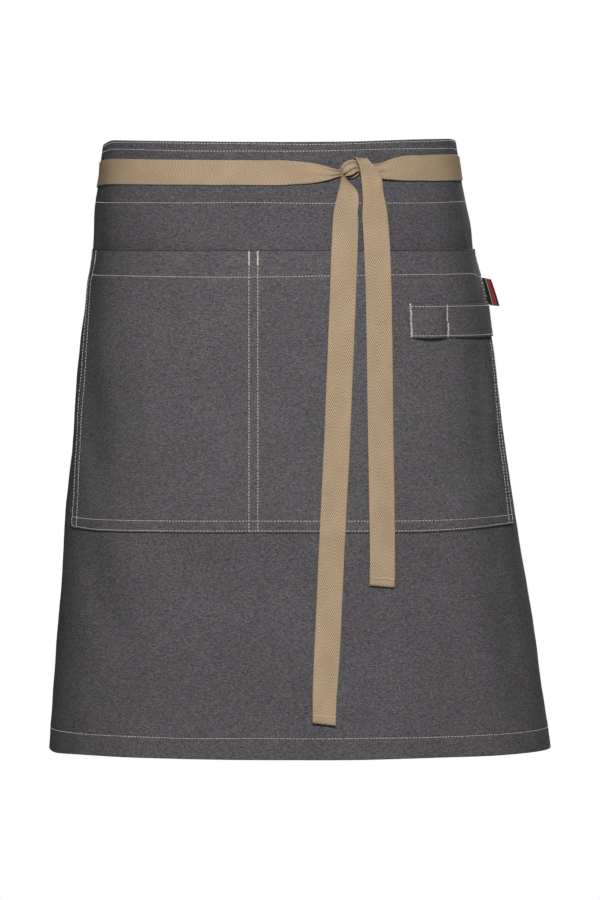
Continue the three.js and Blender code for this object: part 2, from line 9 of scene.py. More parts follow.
import bpy
import numpy as np
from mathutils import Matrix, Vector


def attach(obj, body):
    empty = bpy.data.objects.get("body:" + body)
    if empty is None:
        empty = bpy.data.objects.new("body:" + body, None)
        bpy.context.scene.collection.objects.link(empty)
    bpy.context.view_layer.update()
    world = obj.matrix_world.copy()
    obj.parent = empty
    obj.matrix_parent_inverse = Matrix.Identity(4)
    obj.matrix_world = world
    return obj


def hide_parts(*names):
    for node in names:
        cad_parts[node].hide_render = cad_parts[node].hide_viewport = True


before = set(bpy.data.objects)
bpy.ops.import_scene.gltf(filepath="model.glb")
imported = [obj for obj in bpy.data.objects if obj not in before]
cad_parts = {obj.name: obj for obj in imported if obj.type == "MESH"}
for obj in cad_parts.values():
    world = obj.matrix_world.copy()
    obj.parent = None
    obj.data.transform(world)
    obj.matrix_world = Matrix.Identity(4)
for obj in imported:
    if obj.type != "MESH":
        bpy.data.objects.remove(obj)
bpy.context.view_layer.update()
MM = 0.001

# Flat cut of the apron
APRON_WIDTH = 800 * MM
APRON_LENGTH = 600 * MM
PANEL_LEFT = -389 * MM
PANEL_RIGHT = 411 * MM
FACING_TOP = 1.5 * MM
FACING_DEPTH = 62.5 * MM
BOTTOM_HEM = 21.5 * MM
SIDE_HEM = 12 * MM
CLOTH = 0.75 * MM
HEM_STEP = 1.2 * MM
# Lifts of the panel's outer face and of the facing's, which is just under the panel
PANEL_OUTER = 1.3 * CLOTH
FACING_OUTER = 0.3 * CLOTH - 0.12 * MM

# The worn form
WAIST_WIDTH = 346.6 * MM
WAIST_DEPTH = 244 * MM
SQUARENESS = 2.4
FLARE_LEFT = 53.5 * MM
FLARE_RIGHT = 94.5 * MM
FLARE_DEPTH = 43 * MM
EDGE_DIP = 2 * MM

# Patch pocket
POCKET_TOP = 107.5 * MM
POCKET_HEIGHT = 274.5 * MM
POCKET_BOTTOM = POCKET_TOP + POCKET_HEIGHT
POCKET_LEFT = -240 * MM
POCKET_RIGHT = 264 * MM
POCKET_WIDTH = POCKET_RIGHT - POCKET_LEFT
POCKET_HEM = 27 * MM
POCKET_MARGIN = 10.5 * MM
SEAM = -24.7 * MM
SEAM_WIDTH = 8.6 * MM
SEAM_SHOULDER = 14 * MM
POCKET_EASE = 9 * MM
POCKET_LEVEL = 1.2 * MM
POCKET_OUTER = POCKET_LEVEL + 1.5 * CLOTH
CORNER_BEND = 8 * MM

# Strip of tool loops
LOOPS_TOP = 160 * MM
LOOPS_HEIGHT = 33 * MM
LOOPS_BOTTOM = LOOPS_TOP + LOOPS_HEIGHT
LOOPS_LEFT = 125 * MM
LOOPS_MIDDLE = 165.5 * MM
LOOPS_LENGTH = 160 * MM
LOOP_EASE = 4 * MM
TACK_WIDTH = 3 * MM
LOOP_THICKNESS = 1.3 * MM

# Side label, folded in two
LABEL_TOP = 136 * MM
LABEL_HEIGHT = 26 * MM
LABEL_LENGTH = 32 * MM
LABEL_REACH = 15 * MM
LABEL_ROOT = 2 * MM
LABEL_THICKNESS = 0.55 * MM
LABEL_SWING = math.radians(42)

# Tie tapes
TAPE_WIDTH = 25 * MM
TAPE_THICKNESS = 1.05 * MM
TAPE_CLEARANCE = 0.35 * MM
TAPE_DROP = 32.5 * MM
ROOT_DROP = 14 * MM
ROOT_LENGTH = 25 * MM
BACK_DROP = 41 * MM
TAIL_HEM = 10 * MM
PLEATS = 2.1
LEFT_TAIL_END = 565.5 * MM
RIGHT_TAIL_END = 434 * MM
KNOT_ACROSS = 68.5 * MM
KNOT_DOWN = 26.3 * MM

# down, then shares of the flares at the left, the right and the front, and of the dip of the top edge
LEVELS = np.array([
    (0, 0, 0, 0, 1),
    (0.09, 0.12, 0.092, 0.16, 0.3),
    (0.18, 0.188, 0.165, 0.34, -0.4),
    (0.21, 0.232, 0.215, 0.4, -0.45),
    (0.24, 0.275, 0.275, 0.45, -0.5),
    (0.27, 0.315, 0.308, 0.49, -0.51),
    (0.36, 0.435, 0.385, 0.6, -0.55),
    (0.62, 0.69, 0.63, 0.8, -0.8),
    (0.8, 0.845, 0.815, 0.9, -0.5),
    (1, 1, 1, 1, 0.45),
])
# Soft folds: across, down, width, height, slant and rise
FOLDS = (
    (-0.5, 0.46, 0.055, 0.15, 0.1, -0.008),
    (-0.44, 0.76, 0.06, 0.13, 0.45, -0.008),
    (0.54, 0.46, 0.045, 0.12, 0.05, -0.007),
    (0.6, 0.78, 0.07, 0.2, 0.12, -0.009),
    (0.37, 0.15, 0.03, 0.05, 0, -0.004),
    (-0.535, 0.15, 0.055, 0.09, 0, -0.0075),
    (0.575, 0.15, 0.05, 0.09, 0, -0.004),
    (0.16, 1, 0.1, 0.14, 0, 0.008),
    (0.4, 1, 0.08, 0.16, 0, -0.008),
    (-0.28, 1, 0.1, 0.12, 0, -0.006),
    (-0.94, 1, 0.07, 0.42, 0, -0.013),
    (1.01, 1, 0.07, 0.42, 0, -0.013),
)
# The tapes in the knot: along, down, lift and width as shares of the tape's width, thickness as a share of
# its thickness, and the direction of its width, 90 upright
LEFT_TAPE_IN_KNOT = np.array([
    (-2.1, 0.18, 0.1, 0.92, 1, 90),
    (-1.32, 0.2, 0.13, 0.76, 1.1, 90),
    (-0.8, 0.21, 0.17, 0.5, 1.4, 90),
    (-0.47, 0.2, 0.15, 0.3, 1.9, 90),
    (-0.22, 0.17, 0.11, 0.28, 2.1, 88),
    (0, 0.2, 0.12, 0.42, 2.1, 80),
    (0.16, 0.12, 0.12, 0.46, 2.1, 62),
    (0.27, -0.06, 0.12, 0.46, 2.1, 38),
    (0.32, -0.24, 0.15, 0.46, 1.5, 16),
    (0.35, -0.38, 0.25, 0.45, 1.15, 4),
    (0.4, -0.33, 0.39, 0.48, 1.05, 6),
    (0.49, -0.2, 0.45, 0.54, 1.1, 7),
    (0.65, 0, 0.44, 0.69, 1.2, 5),
    (0.77, 0.26, 0.38, 0.81, 1.1, 4),
    (0.81, 0.51, 0.35, 0.82, 1.05, 2),
    (0.87, 1.01, 0.31, 0.83, 1, 0),
])
RIGHT_TAPE_IN_KNOT = np.array([
    (3.1, 0.05, 0.1, 0.97, 1, 90),
    (2.14, 0.05, 0.13, 0.94, 1, 90),
    (1.63, 0.08, 0.18, 0.8, 1.15, 90),
    (1.16, 0.13, 0.21, 0.6, 1.5, 90),
    (0.7, 0.06, 0.2, 0.48, 1.8, 88),
    (0.38, -0.05, 0.25, 0.5, 2, 74),
    (0.12, -0.1, 0.34, 0.54, 2, 60),
    (-0.06, 0, 0.37, 0.58, 2, 48),
    (-0.18, 0.12, 0.34, 0.5, 2, 40),
    (-0.25, 0.2, 0.24, 0.34, 2, 35),
    (-0.27, 0.25, 0.17, 0.2, 2, 25),
    (-0.25, 0.33, 0.15, 0.18, 1.9, 10),
    (-0.23, 0.47, 0.15, 0.27, 1.8, 3),
    (-0.18, 0.62, 0.15, 0.42, 1.6, 0),
    (-0.11, 0.78, 0.155, 0.6, 1.4, 0),
    (-0.08, 0.93, 0.16, 0.75, 1.3, 0),
    (-0.08, 1.13, 0.17, 0.84, 1.2, 0),
    (-0.1, 1.36, 0.175, 0.91, 1.1, 0),
])
# The free tails: down as a share of the way from the knot to the free end, along, and direction of width
LEFT_TAIL = np.array([
    (0, -0.14, 1), (0.1, -0.26, 2), (0.2, -0.32, 2), (0.46, -0.51, 4),
    (0.67, -0.7, 4), (0.84, -0.85, 5), (0.95, -0.98, 6), (1, -1, 7),
])
RIGHT_TAIL = np.array([
    (0, 0.9, -4), (0.1, 0.95, -3), (0.27, 1.05, -2), (0.63, 1.17, -1), (0.91, 1.28, 1), (1, 1.26, 5),
])
# Swells and hollows at the sides: side, down, height along the apron and rise
SIDE_SWELLS = (
    (1, 86 * MM, 22 * MM, 2.6 * MM),
    (1, 212 * MM, 55 * MM, 2.5 * MM),
    (1, 36 * MM, 13 * MM, -0.4 * MM),
    (-1, 182 * MM, 34 * MM, 1.4 * MM),
    (-1, 72 * MM, 20 * MM, 1 * MM),
    (-1, 141 * MM, 17 * MM, 1.6 * MM),
    (-1, 36 * MM, 13 * MM, -1.1 * MM),
)
# The cloth's unevenness: size of the waves, share of it at the waist, and rise where the cloth hangs free
UNEVEN_CLOTH = ((46 * MM, 0.25, 0.55 * MM), (17 * MM, 0.35, 0.16 * MM), (6 * MM, 1, 0.03 * MM))

random = np.random.default_rng(7)


def smooth(share):
    held = np.clip(share, 0, 1)
    return held * held * (3 - 2 * held)


def ramp(at, start, over):
    """From 0 to 1 over a stretch, which runs the other way where it is negative."""
    return smooth((at - start) / over)


def bump(distance, width):
    return np.exp(-((distance / width) ** 2))


def unit(vectors):
    return vectors / np.linalg.norm(vectors, axis=-1, keepdims=True)


def run_lengths(line):
    """The length along a line at each of its points."""
    return np.concatenate([[0], np.cumsum(np.linalg.norm(np.diff(line, axis=0), axis=1))])


# The worn form as a chart: grids of points and outward directions over the flat cut
CHART_STEP = 2 * MM
CHART_ACROSS = np.arange(-640, 641, 2) * MM
CHART_DOWN = np.arange(-12, 621, 2) * MM


def level_profiles():
    """The form's profiles down the apron, with the corners between the levels smoothed away."""
    fine = np.arange(-80, 681) * MM
    share = fine / APRON_LENGTH
    kernel = bump(np.arange(-40, 41) * MM, 17 * MM)
    kernel /= kernel.sum()
    made = []
    for column in range(1, 5):
        values = np.interp(share, LEVELS[:, 0], LEVELS[:, column])
        first = (LEVELS[1, column] - LEVELS[0, column]) / LEVELS[1, 0]
        last = (LEVELS[-1, column] - LEVELS[-2, column]) / (1 - LEVELS[-2, 0])
        values += first * np.minimum(share, 0) + last * np.maximum(share - 1, 0)
        softened = np.convolve(values, kernel, "same")
        made.append(np.interp(CHART_DOWN, fine, softened))
    return made


def cloth_noise(size, seed):
    """Even random relief of about one unit over the chart, with waves of about that size."""
    grain = np.random.default_rng(seed).standard_normal((len(CHART_DOWN), len(CHART_ACROSS)))
    across = np.fft.fftfreq(len(CHART_ACROSS), CHART_STEP)
    down = np.fft.fftfreq(len(CHART_DOWN), CHART_STEP)
    kept = np.exp(-((across[None] ** 2 + down[:, None] ** 2) * (size * 2.2) ** 2))
    made = np.real(np.fft.ifft2(np.fft.fft2(grain) * kept))
    return made / made.std()


def make_chart():
    """Points, outward directions and the way round each half of the form, for every level down it."""
    left, right, depth, dip = level_profiles()
    angles = np.linspace(0, math.pi, 900)
    power = 2 / SQUARENESS
    steep = SQUARENESS - 1
    points = np.zeros((len(CHART_DOWN), len(CHART_ACROSS), 3))
    normals = np.zeros_like(points)
    halves = np.zeros((len(CHART_DOWN), 2))
    for j, down in enumerate(CHART_DOWN):
        reaches = (WAIST_WIDTH / 2 + FLARE_LEFT * left[j], WAIST_WIDTH / 2 + FLARE_RIGHT * right[j])
        deep = WAIST_DEPTH / 2 + FLARE_DEPTH * depth[j]
        y = -deep * np.sign(np.cos(angles)) * np.abs(np.cos(angles)) ** power
        sides = [reach * np.abs(np.sin(angles)) ** power for reach in reaches]
        ways = [run_lengths(np.stack([x, y], 1)) for x in sides]
        halves[j] = [way[-1] for way in ways]
        arc = np.concatenate([-ways[0][::-1], ways[1][1:]])
        wrapped = (CHART_ACROSS + halves[j, 0]) % halves[j].sum() - halves[j, 0]
        x = np.interp(wrapped, arc, np.concatenate([-sides[0][::-1], sides[1][1:]]))
        y = np.interp(wrapped, arc, np.concatenate([y[::-1], y[1:]]))
        reach = np.where(x < 0, *reaches)
        nx = np.sign(x) * np.abs(x / reach) ** steep / reach
        ny = np.sign(y) * np.abs(y / deep) ** steep / deep
        quarter = np.where(wrapped < 0, *halves[j]) / 2
        in_front = (1 + np.cos(math.pi * wrapped / quarter)) / 2 * (np.abs(wrapped) < quarter)
        normals[j] = unit(np.stack([nx, ny, np.zeros_like(x)], 1))
        points[j] = np.stack([x, y, TAPE_DROP - down - EDGE_DIP * dip[j] * in_front], 1)
    return points, normals, halves


def fold_relief():
    across, down = np.meshgrid(CHART_ACROSS, CHART_DOWN)
    half = APRON_WIDTH / 2
    rise = np.zeros_like(across)
    for at, level, wide, tall, slant, high in FOLDS:
        below = down - level * APRON_LENGTH
        beside = across - at * half - slant * below
        rise += high * half * bump(beside, wide * half) * bump(below, tall * APRON_LENGTH)
    hanging = ramp(down, 60 * MM, 200 * MM)
    for seed, (size, at_waist, high) in enumerate(UNEVEN_CLOTH, 1):
        rise += (at_waist + (1 - at_waist) * hanging) * high * cloth_noise(size, seed)
    for side, at, tall, high in SIDE_SWELLS:
        rise += high * ramp(side * across, 185 * MM, 60 * MM) * bump(down - at, tall)
    return rise


chart_points, chart_normals, chart_halves = make_chart()
chart_points = chart_points + chart_normals * fold_relief()[..., None]


def look_up(field, across, down):
    i = np.clip((across - CHART_ACROSS[0]) / CHART_STEP, 0, len(CHART_ACROSS) - 1.001)
    j = np.clip((down - CHART_DOWN[0]) / CHART_STEP, 0, len(CHART_DOWN) - 1.001)
    i0 = i.astype(int)
    j0 = j.astype(int)
    fi = (i - i0)[..., None]
    fj = (j - j0)[..., None]
    top = field[j0, i0] * (1 - fi) + field[j0, i0 + 1] * fi
    low = field[j0 + 1, i0] * (1 - fi) + field[j0 + 1, i0 + 1] * fi
    return top * (1 - fj) + low * fj


def edge_sag(across, down):
    """How far the top edge sinks towards the sides, and the rounded corner of the hem."""
    sag = 2.4 * MM * ramp(-across, 180 * MM, 34 * MM) * ramp(down, 22 * MM, -22 * MM)
    sag -= 1.3 * MM * ramp(across, 60 * MM, 90 * MM) * ramp(down, 50 * MM, -50 * MM)
    sag += 3.5 * MM * ramp(np.abs(across), 190 * MM, 60 * MM) * ramp(down, 45 * MM, -45 * MM)
    return sag + 2 * MM * bump(across + 268 * MM, 45 * MM) * ramp(down, 560 * MM, 40 * MM)


def place(across, down, lift):
    """Points in space for places on the flat cut."""
    across, down, lift = np.broadcast_arrays(*(np.asarray(value, float) for value in (across, down, lift)))
    made = look_up(chart_points, across, down)
    made += unit(look_up(chart_normals, across, down)) * lift[..., None]
    made[..., 2] -= edge_sag(across, down)
    return made


def half_round(down, side):
    return np.interp(down, CHART_DOWN, chart_halves[:, side])


# Meshes
def make_piece(name, points, faces, flat_places, material):
    """A smooth-shaded mesh with each corner's place on the flat cut, in metres, as its UV."""
    mesh = bpy.data.meshes.new(name)
    mesh.from_pydata(points.tolist(), [], faces.tolist())
    mesh.polygons.foreach_set("use_smooth", np.ones(len(faces), bool))
    corners = np.zeros(len(mesh.loops), np.int32)
    mesh.loops.foreach_get("vertex_index", corners)
    mesh.uv_layers.new(name="flat").data.foreach_set("uv", flat_places[corners].astype(np.float32).ravel())
    mesh.materials.append(material)
    mesh.update()
    made = bpy.data.objects.new(name, mesh)
    bpy.context.scene.collection.objects.link(made)
    return made


def grid_faces(index):
    corners = (index[:-1, :-1], index[1:, :-1], index[1:, 1:], index[:-1, 1:])
    return np.stack([corner.ravel() for corner in corners], 1)


def closed_faces(rows, columns):
    """The faces of two grids, an outer and an inner one, that are joined all round their edges."""
    index = np.arange(rows * columns).reshape(rows, columns)
    under = index.size
    faces = [grid_faces(index), grid_faces(index + under)[:, ::-1]]
    for edge in (index[0, ::-1], index[-1], index[:, 0], index[::-1, -1]):
        faces.append(np.stack([edge[:-1] + under, edge[1:] + under, edge[1:], edge[:-1]], 1))
    return np.concatenate(faces)


def layer(name, across_lines, down_lines, lifts, material, warp=None):
    """A closed sheet of cloth between its outer and inner lift, over the lines of the flat cut."""
    across, down = np.meshgrid(across_lines, down_lines)
    moved, lowered = warp(across, down) if warp else (across, down)
    points = [place(moved, lowered, lift(across, down)).reshape(-1, 3) for lift in lifts]
    flat = np.stack([across.ravel(), down.ravel()], 1)
    faces = closed_faces(*across.shape)
    return make_piece(name, np.concatenate(points), faces, np.concatenate([flat, flat]), material)


def grid_lines(low, high, step, rows=(), edge=0.8 * MM):
    """Lines over the flat cut, closer beside the rows of stitches and at the folded edges."""
    coarse = np.linspace(low, high, round((high - low) / step) + 1)
    fine = [low, high]
    for share in (0.12, 0.4, 0.8, 1.3):
        fine += [low + edge * share, high - edge * share]
    for row in rows:
        fine += [row + away * MM for away in (-2.4, -1.2, -0.5, 0, 0.5, 1.2, 2.4)]
    fine = np.array(sorted(at for at in fine if low <= at <= high))
    fine = fine[np.concatenate([[True], np.diff(fine) > 0.08 * MM])]
    clear = np.abs(coarse[:, None] - fine[None]).min(1) > 0.9 * MM
    return np.sort(np.concatenate([coarse[clear], fine]))


def folded(distance, radius, least=0.05):
    """How full a layer's thickness is at a distance from its folded edge."""
    near = np.clip(distance / radius, 0, 1)
    return np.sqrt(np.maximum(least, 1 - (1 - near) ** 2))


def edge_fullness(across, down, sides, ends, radius):
    """How full it is near all four edges of a piece."""
    beside = folded(across - sides[0], radius) * folded(sides[1] - across, radius)
    return beside * folded(down - ends[0], radius) * folded(ends[1] - down, radius)


def two_faces(middle, half):
    """The lifts of a layer's outer and inner face, from its middle and half its thickness."""

    def outer(across, down):
        return middle(across, down) + half(across, down)

    def inner(across, down):
        return middle(across, down) - half(across, down)

    return outer, inner


RIPPLES = 1400
RIPPLE_LENGTH = 9 * MM


def pucker(along, away, seed, high, reach):
    """Random waves along a row of stitches, which fade beside it."""
    grain = np.random.default_rng(seed).standard_normal(RIPPLES)
    kept = bump(np.fft.rfftfreq(RIPPLES, 1 * MM) * RIPPLE_LENGTH - 1, 1 / 1.6)
    line = np.fft.irfft(np.fft.rfft(grain) * kept, RIPPLES)
    value = np.interp(along, (np.arange(RIPPLES) - RIPPLES / 2) * MM, line / line.std())
    return high * value * np.exp(-np.abs(away) / reach)


def pressed_row(away, deep):
    """The cloth is pulled in along a row of stitches."""
    return -deep * bump(away, 0.8 * MM)


def sewn_relief(along, away, seed, deep=0.3 * MM, high=0.11 * MM, reach=5 * MM):
    return pressed_row(away, deep) + pucker(along, away, seed, high, reach)


# Rows of stitches on the flat cut
WAIST_ROWS = (2.1 * MM, 9.1 * MM, 61 * MM)
HEM_ROW = APRON_LENGTH - 20.4 * MM
SIDE_ROWS = (PANEL_LEFT + 10.5 * MM, PANEL_RIGHT - 10.5 * MM)
MOUTH_ROW = POCKET_TOP + 25 * MM
MOUTH_ROW_RISE = 1.7 * MM
POCKET_LEFT_ROWS = (POCKET_LEFT + 3.5 * MM, POCKET_LEFT + 13.5 * MM)
POCKET_RIGHT_ROWS = (POCKET_RIGHT - 13 * MM, POCKET_RIGHT - 3 * MM)
POCKET_BOTTOM_ROWS = (POCKET_BOTTOM - 11.2 * MM, POCKET_BOTTOM - 1.6 * MM)
SEAM_ROWS = (SEAM - SEAM_WIDTH / 2, SEAM + SEAM_WIDTH / 2)
LOOP_ROWS = (LOOPS_TOP + 2.4 * MM, LOOPS_BOTTOM - 2.2 * MM)


# Apron panel and waistband facing
def panel_relief(across, down):
    relief = sewn_relief(across, down - HEM_ROW, 24, high=0.2 * MM, reach=8 * MM)
    for seed, row in enumerate(WAIST_ROWS, 20):
        relief += sewn_relief(across, down - row, seed)
    for seed, row in enumerate(SIDE_ROWS, 30):
        relief += sewn_relief(down, across - row, seed) * (down > FACING_DEPTH)
    return relief


def panel_layers(across, down):
    """How many layers thick the panel is: it is folded in twice at the hems."""
    bottom = ramp(down, APRON_LENGTH - BOTTOM_HEM, HEM_STEP)
    left = ramp(across, PANEL_LEFT + SIDE_HEM, -HEM_STEP)
    right = ramp(across, PANEL_RIGHT - SIDE_HEM, HEM_STEP)
    below = ramp(down, FACING_DEPTH, 1.5 * MM)
    return 1 + np.clip(bottom + (left + right) * below, 0, 1.4)


def panel_middle(across, down):
    """Under the panel's outer face by half its layers, which only show at its edges."""
    return PANEL_OUTER - panel_layers(across, down) * CLOTH / 2 + panel_relief(across, down)


def panel_half(across, down):
    full = edge_fullness(across, down, (PANEL_LEFT, PANEL_RIGHT), (0, APRON_LENGTH), 0.8 * MM)
    return panel_layers(across, down) * CLOTH / 2 * full


panel_outer, panel_inner = two_faces(panel_middle, panel_half)


def make_panel(material):
    across = grid_lines(PANEL_LEFT, PANEL_RIGHT, 4 * MM, SIDE_ROWS)
    down = grid_lines(0, APRON_LENGTH, 4 * MM, (*WAIST_ROWS, HEM_ROW))
    return layer("apron_panel_cloth", across, down, (panel_outer, panel_inner), material)


def facing_inner(across, down):
    return FACING_OUTER - CLOTH - panel_relief(across, down) * 0.5


def make_facing(material):
    across = grid_lines(PANEL_LEFT + 0.6 * MM, PANEL_RIGHT - 0.6 * MM, 6 * MM)
    down = grid_lines(FACING_TOP, FACING_DEPTH, 5 * MM, WAIST_ROWS)

    def thinner(a, d):
        edge = np.minimum(np.minimum(a - across[0], across[-1] - a), np.minimum(d - down[0], down[-1] - d))
        return CLOTH / 2 * (1 - folded(edge, CLOTH / 2))

    def outer(a, d):
        return FACING_OUTER - thinner(a, d) + panel_relief(a, d)

    def inner(a, d):
        return facing_inner(a, d) + thinner(a, d)

    return layer("waistband_facing_cloth", across, down, (outer, inner), material)


# Patch pocket
def pocket_warp(across, down):
    """The pocket's side edges are not quite upright, and its bottom edge rises at both corners."""
    levels = (POCKET_TOP, 200 * MM, 300 * MM, POCKET_BOTTOM)
    lean = np.interp(down, levels, (1.5 * MM, -2.5 * MM, 1.5 * MM, 9 * MM))
    bow = 5 * MM * bump(down - 188 * MM, 52 * MM)
    moved = lean * ramp(across, 140 * MM, 124 * MM) + bow * ramp(-across, 130 * MM, 90 * MM)
    rise = 5 * MM * ramp(across, 130 * MM, 140 * MM) + 2 * MM * ramp(-across, 190 * MM, 50 * MM)
    return across + moved, down - rise * ramp(down, POCKET_BOTTOM - 24 * MM, 24 * MM)


def pocket_puff(across, down):
    """The pocket stands off the panel, most at its mouth, and is held down along the seam."""
    left_side = across < SEAM
    low = np.where(left_side, POCKET_LEFT + POCKET_MARGIN, SEAM_ROWS[1])
    high = np.where(left_side, SEAM_ROWS[0], POCKET_RIGHT - POCKET_MARGIN)
    share = np.clip((across - low) / (high - low), 0, 1)
    from_mouth = np.clip((down - POCKET_TOP) / (POCKET_HEIGHT - POCKET_MARGIN), 0, 1)
    slack = np.cos(math.pi / 2 * from_mouth)
    shoulder = smooth((np.abs(across - SEAM) - SEAM_WIDTH / 2) / SEAM_SHOULDER)
    return 0.6 * MM * shoulder + POCKET_EASE * np.sin(math.pi * share) ** 1.3 * slack


def mouth_row(across):
    """The row of stitches along the pocket's mouth, which rises to the right and turns down at its end."""
    along = (across - POCKET_LEFT) / (POCKET_RIGHT - POCKET_LEFT)
    turned = 4 * MM * ramp(across, POCKET_RIGHT - 52 * MM, 30 * MM)
    return MOUTH_ROW - MOUTH_ROW_RISE * along + turned + 2.2 * MM * bump(across + 35 * MM, 100 * MM)


def pocket_relief(across, down):
    relief = sewn_relief(across, down - mouth_row(across), 40)
    for seed, row in enumerate(POCKET_LEFT_ROWS + POCKET_RIGHT_ROWS + SEAM_ROWS, 50):
        relief += sewn_relief(down, across - row, seed, 0.35 * MM, 0.14 * MM)
    for seed, row in enumerate(POCKET_BOTTOM_ROWS, 60):
        relief += sewn_relief(across, down - row, seed, 0.35 * MM, 0.14 * MM)
    return relief


def pocket_layers(across, down):
    """The pocket has two layers round its edges and in the hem at its mouth."""
    turned = (
        ramp(across, POCKET_LEFT + POCKET_MARGIN, -HEM_STEP),
        ramp(across, POCKET_RIGHT - POCKET_MARGIN, HEM_STEP),
        ramp(down, POCKET_BOTTOM - POCKET_MARGIN, HEM_STEP),
        ramp(down, POCKET_TOP + POCKET_HEM, -HEM_STEP),
    )
    return 1 + np.maximum.reduce(turned)


def pocket_middle(across, down):
    flat = POCKET_OUTER - pocket_layers(across, down) * CLOTH / 2
    return flat + pocket_puff(across, down) + pocket_relief(across, down)


def pocket_half(across, down):
    full = edge_fullness(across, down, (POCKET_LEFT, POCKET_RIGHT), (POCKET_TOP, POCKET_BOTTOM), CLOTH)
    return pocket_layers(across, down) * CLOTH / 2 * full


pocket_outer, pocket_inner = two_faces(pocket_middle, pocket_half)


def make_pocket(material):
    upright_rows = POCKET_LEFT_ROWS + POCKET_RIGHT_ROWS + SEAM_ROWS
    across = grid_lines(POCKET_LEFT, POCKET_RIGHT, 3.2 * MM, upright_rows)
    down = grid_lines(POCKET_TOP, POCKET_BOTTOM, 3.2 * MM, (MOUTH_ROW, *POCKET_BOTTOM_ROWS))
    return layer("front_pocket_cloth", across, down, (pocket_outer, pocket_inner), material, pocket_warp)


# Tool loops
def loop_puff(across, down):
    """The first loop stands open and the second hardly, with its lower corner flared."""
    rise = np.zeros_like(across)
    loops = (
        (LOOPS_LEFT + TACK_WIDTH, LOOPS_MIDDLE - TACK_WIDTH / 2, LOOP_EASE),
        (LOOPS_MIDDLE + TACK_WIDTH / 2, POCKET_RIGHT - POCKET_MARGIN, LOOP_EASE * 0.3),
    )
    for low, high, ease in loops:
        share = np.clip((across - low) / (high - low), 0, 1)
        rise += ease * np.sin(math.pi * share) ** 0.8 * (1 + 0.1 * (down - LOOPS_TOP) / LOOPS_HEIGHT)
    flared = ramp(across, POCKET_RIGHT - 26 * MM, 14 * MM) * ramp(down, LOOPS_TOP + 14 * MM, 19 * MM)
    return rise + 0.3 * MM * flared


def loop_middle(across, down):
    under = POCKET_OUTER + pocket_puff(across, down)
    relief = sum(pressed_row(down - row, 0.25 * MM) for row in LOOP_ROWS)
    tacks = bump(across - LOOPS_LEFT - 1.4 * MM, 1.5 * MM) + bump(across - LOOPS_MIDDLE, 1.8 * MM)
    sewn_on = 0.15 * MM + LOOP_THICKNESS / 2 + relief - 0.3 * MM * tacks
    return under + sewn_on + loop_puff(across, down)


def loop_half(across, down):
    full = edge_fullness(across, down, (LOOPS_LEFT, POCKET_RIGHT), (LOOPS_TOP, LOOPS_BOTTOM), 0.7 * MM)
    return LOOP_THICKNESS / 2 * full


loop_outer, loop_inner = two_faces(loop_middle, loop_half)


def make_loops(material):
    tacks = (LOOPS_LEFT + 1.4 * MM, LOOPS_MIDDLE)
    across = grid_lines(LOOPS_LEFT, POCKET_RIGHT, 1.6 * MM, tacks, 0.7 * MM)
    down = grid_lines(LOOPS_TOP, LOOPS_BOTTOM, 2.2 * MM, LOOP_ROWS, 0.7 * MM)
    return layer("tool_loops_strip", across, down, (loop_outer, loop_inner), material, pocket_warp)


# Tie tapes
def spline(rows, step):
    """Even steps along a smooth line through the rows, whose first three columns are the place."""
    lengths = np.linalg.norm(np.diff(rows[:, :3], axis=0), axis=1)
    knots = np.concatenate([[0], np.cumsum(np.maximum(lengths, 0.2 * MM))])
    slopes = np.gradient(rows, knots, axis=0)
    at = np.linspace(0, knots[-1], max(2, round(knots[-1] / step) + 1))
    i = np.clip(np.searchsorted(knots, at, "right") - 1, 0, len(knots) - 2)
    span = (knots[i + 1] - knots[i])[:, None]
    t = (at - knots[i])[:, None] / span
    return (
        rows[i] * (2 * t**3 - 3 * t**2 + 1)
        + rows[i + 1] * (3 * t**2 - 2 * t**3)
        + slopes[i] * span * (t**3 - 2 * t**2 + t)
        + slopes[i + 1] * span * (t**3 - t**2)
    )


def band_rows(sign, knot_start):
    """From the end sewn inside one side edge, across the open back, over the other edge and to the knot."""
    over, start = (PANEL_LEFT, PANEL_RIGHT) if sign < 0 else (PANEL_RIGHT, -PANEL_LEFT)
    over_side, start_side = (0, 1) if sign < 0 else (1, 0)
    start_length = half_round(TAPE_DROP, start_side) - start
    opening = start_length + half_round(TAPE_DROP, over_side) - abs(over)
    inside = FACING_OUTER - CLOTH - TAPE_CLEARANCE - TAPE_THICKNESS / 2
    on_cloth = PANEL_OUTER + TAPE_CLEARANCE + TAPE_THICKNESS / 2
    crossing = 0 if sign < 0 else TAPE_THICKNESS + 1 * MM
    flat_upright = (TAPE_WIDTH, TAPE_THICKNESS, 90)
    sewn_on = -ROOT_LENGTH * np.array([1, 0.6, 0.3])
    rows = []
    for way in np.concatenate([sewn_on, np.linspace(0, 1, 17)[:-1] * opening]):
        share = way / opening
        down = ROOT_DROP + (BACK_DROP - ROOT_DROP) * ramp(share, 0.2, 0.6)
        across = sign * (half_round(down, over_side) + start_length - way)
        before = inside + (crossing - inside) * ramp(share, 0.08, 0.25)
        rows.append((across, down, before + (on_cloth - crossing) * ramp(share, 0.72, 0.2), *flat_upright))
    last, end_down, end_lift = knot_start[:3]
    for across in np.arange(over, last + sign * 8 * MM, -sign * 14 * MM)[1:]:
        share = (across - over) / (last - over)
        down = BACK_DROP + (end_down - BACK_DROP) * smooth(share / 0.55)
        rows.append((across, down, on_cloth + (end_lift - on_cloth) * ramp(share, 0.8, 0.2), *flat_upright))
    return np.array(rows)


def end_curl(above_end):
    """The free ends stand a little off the cloth."""
    return 2.2 * MM * ramp(above_end, 50 * MM, -50 * MM)


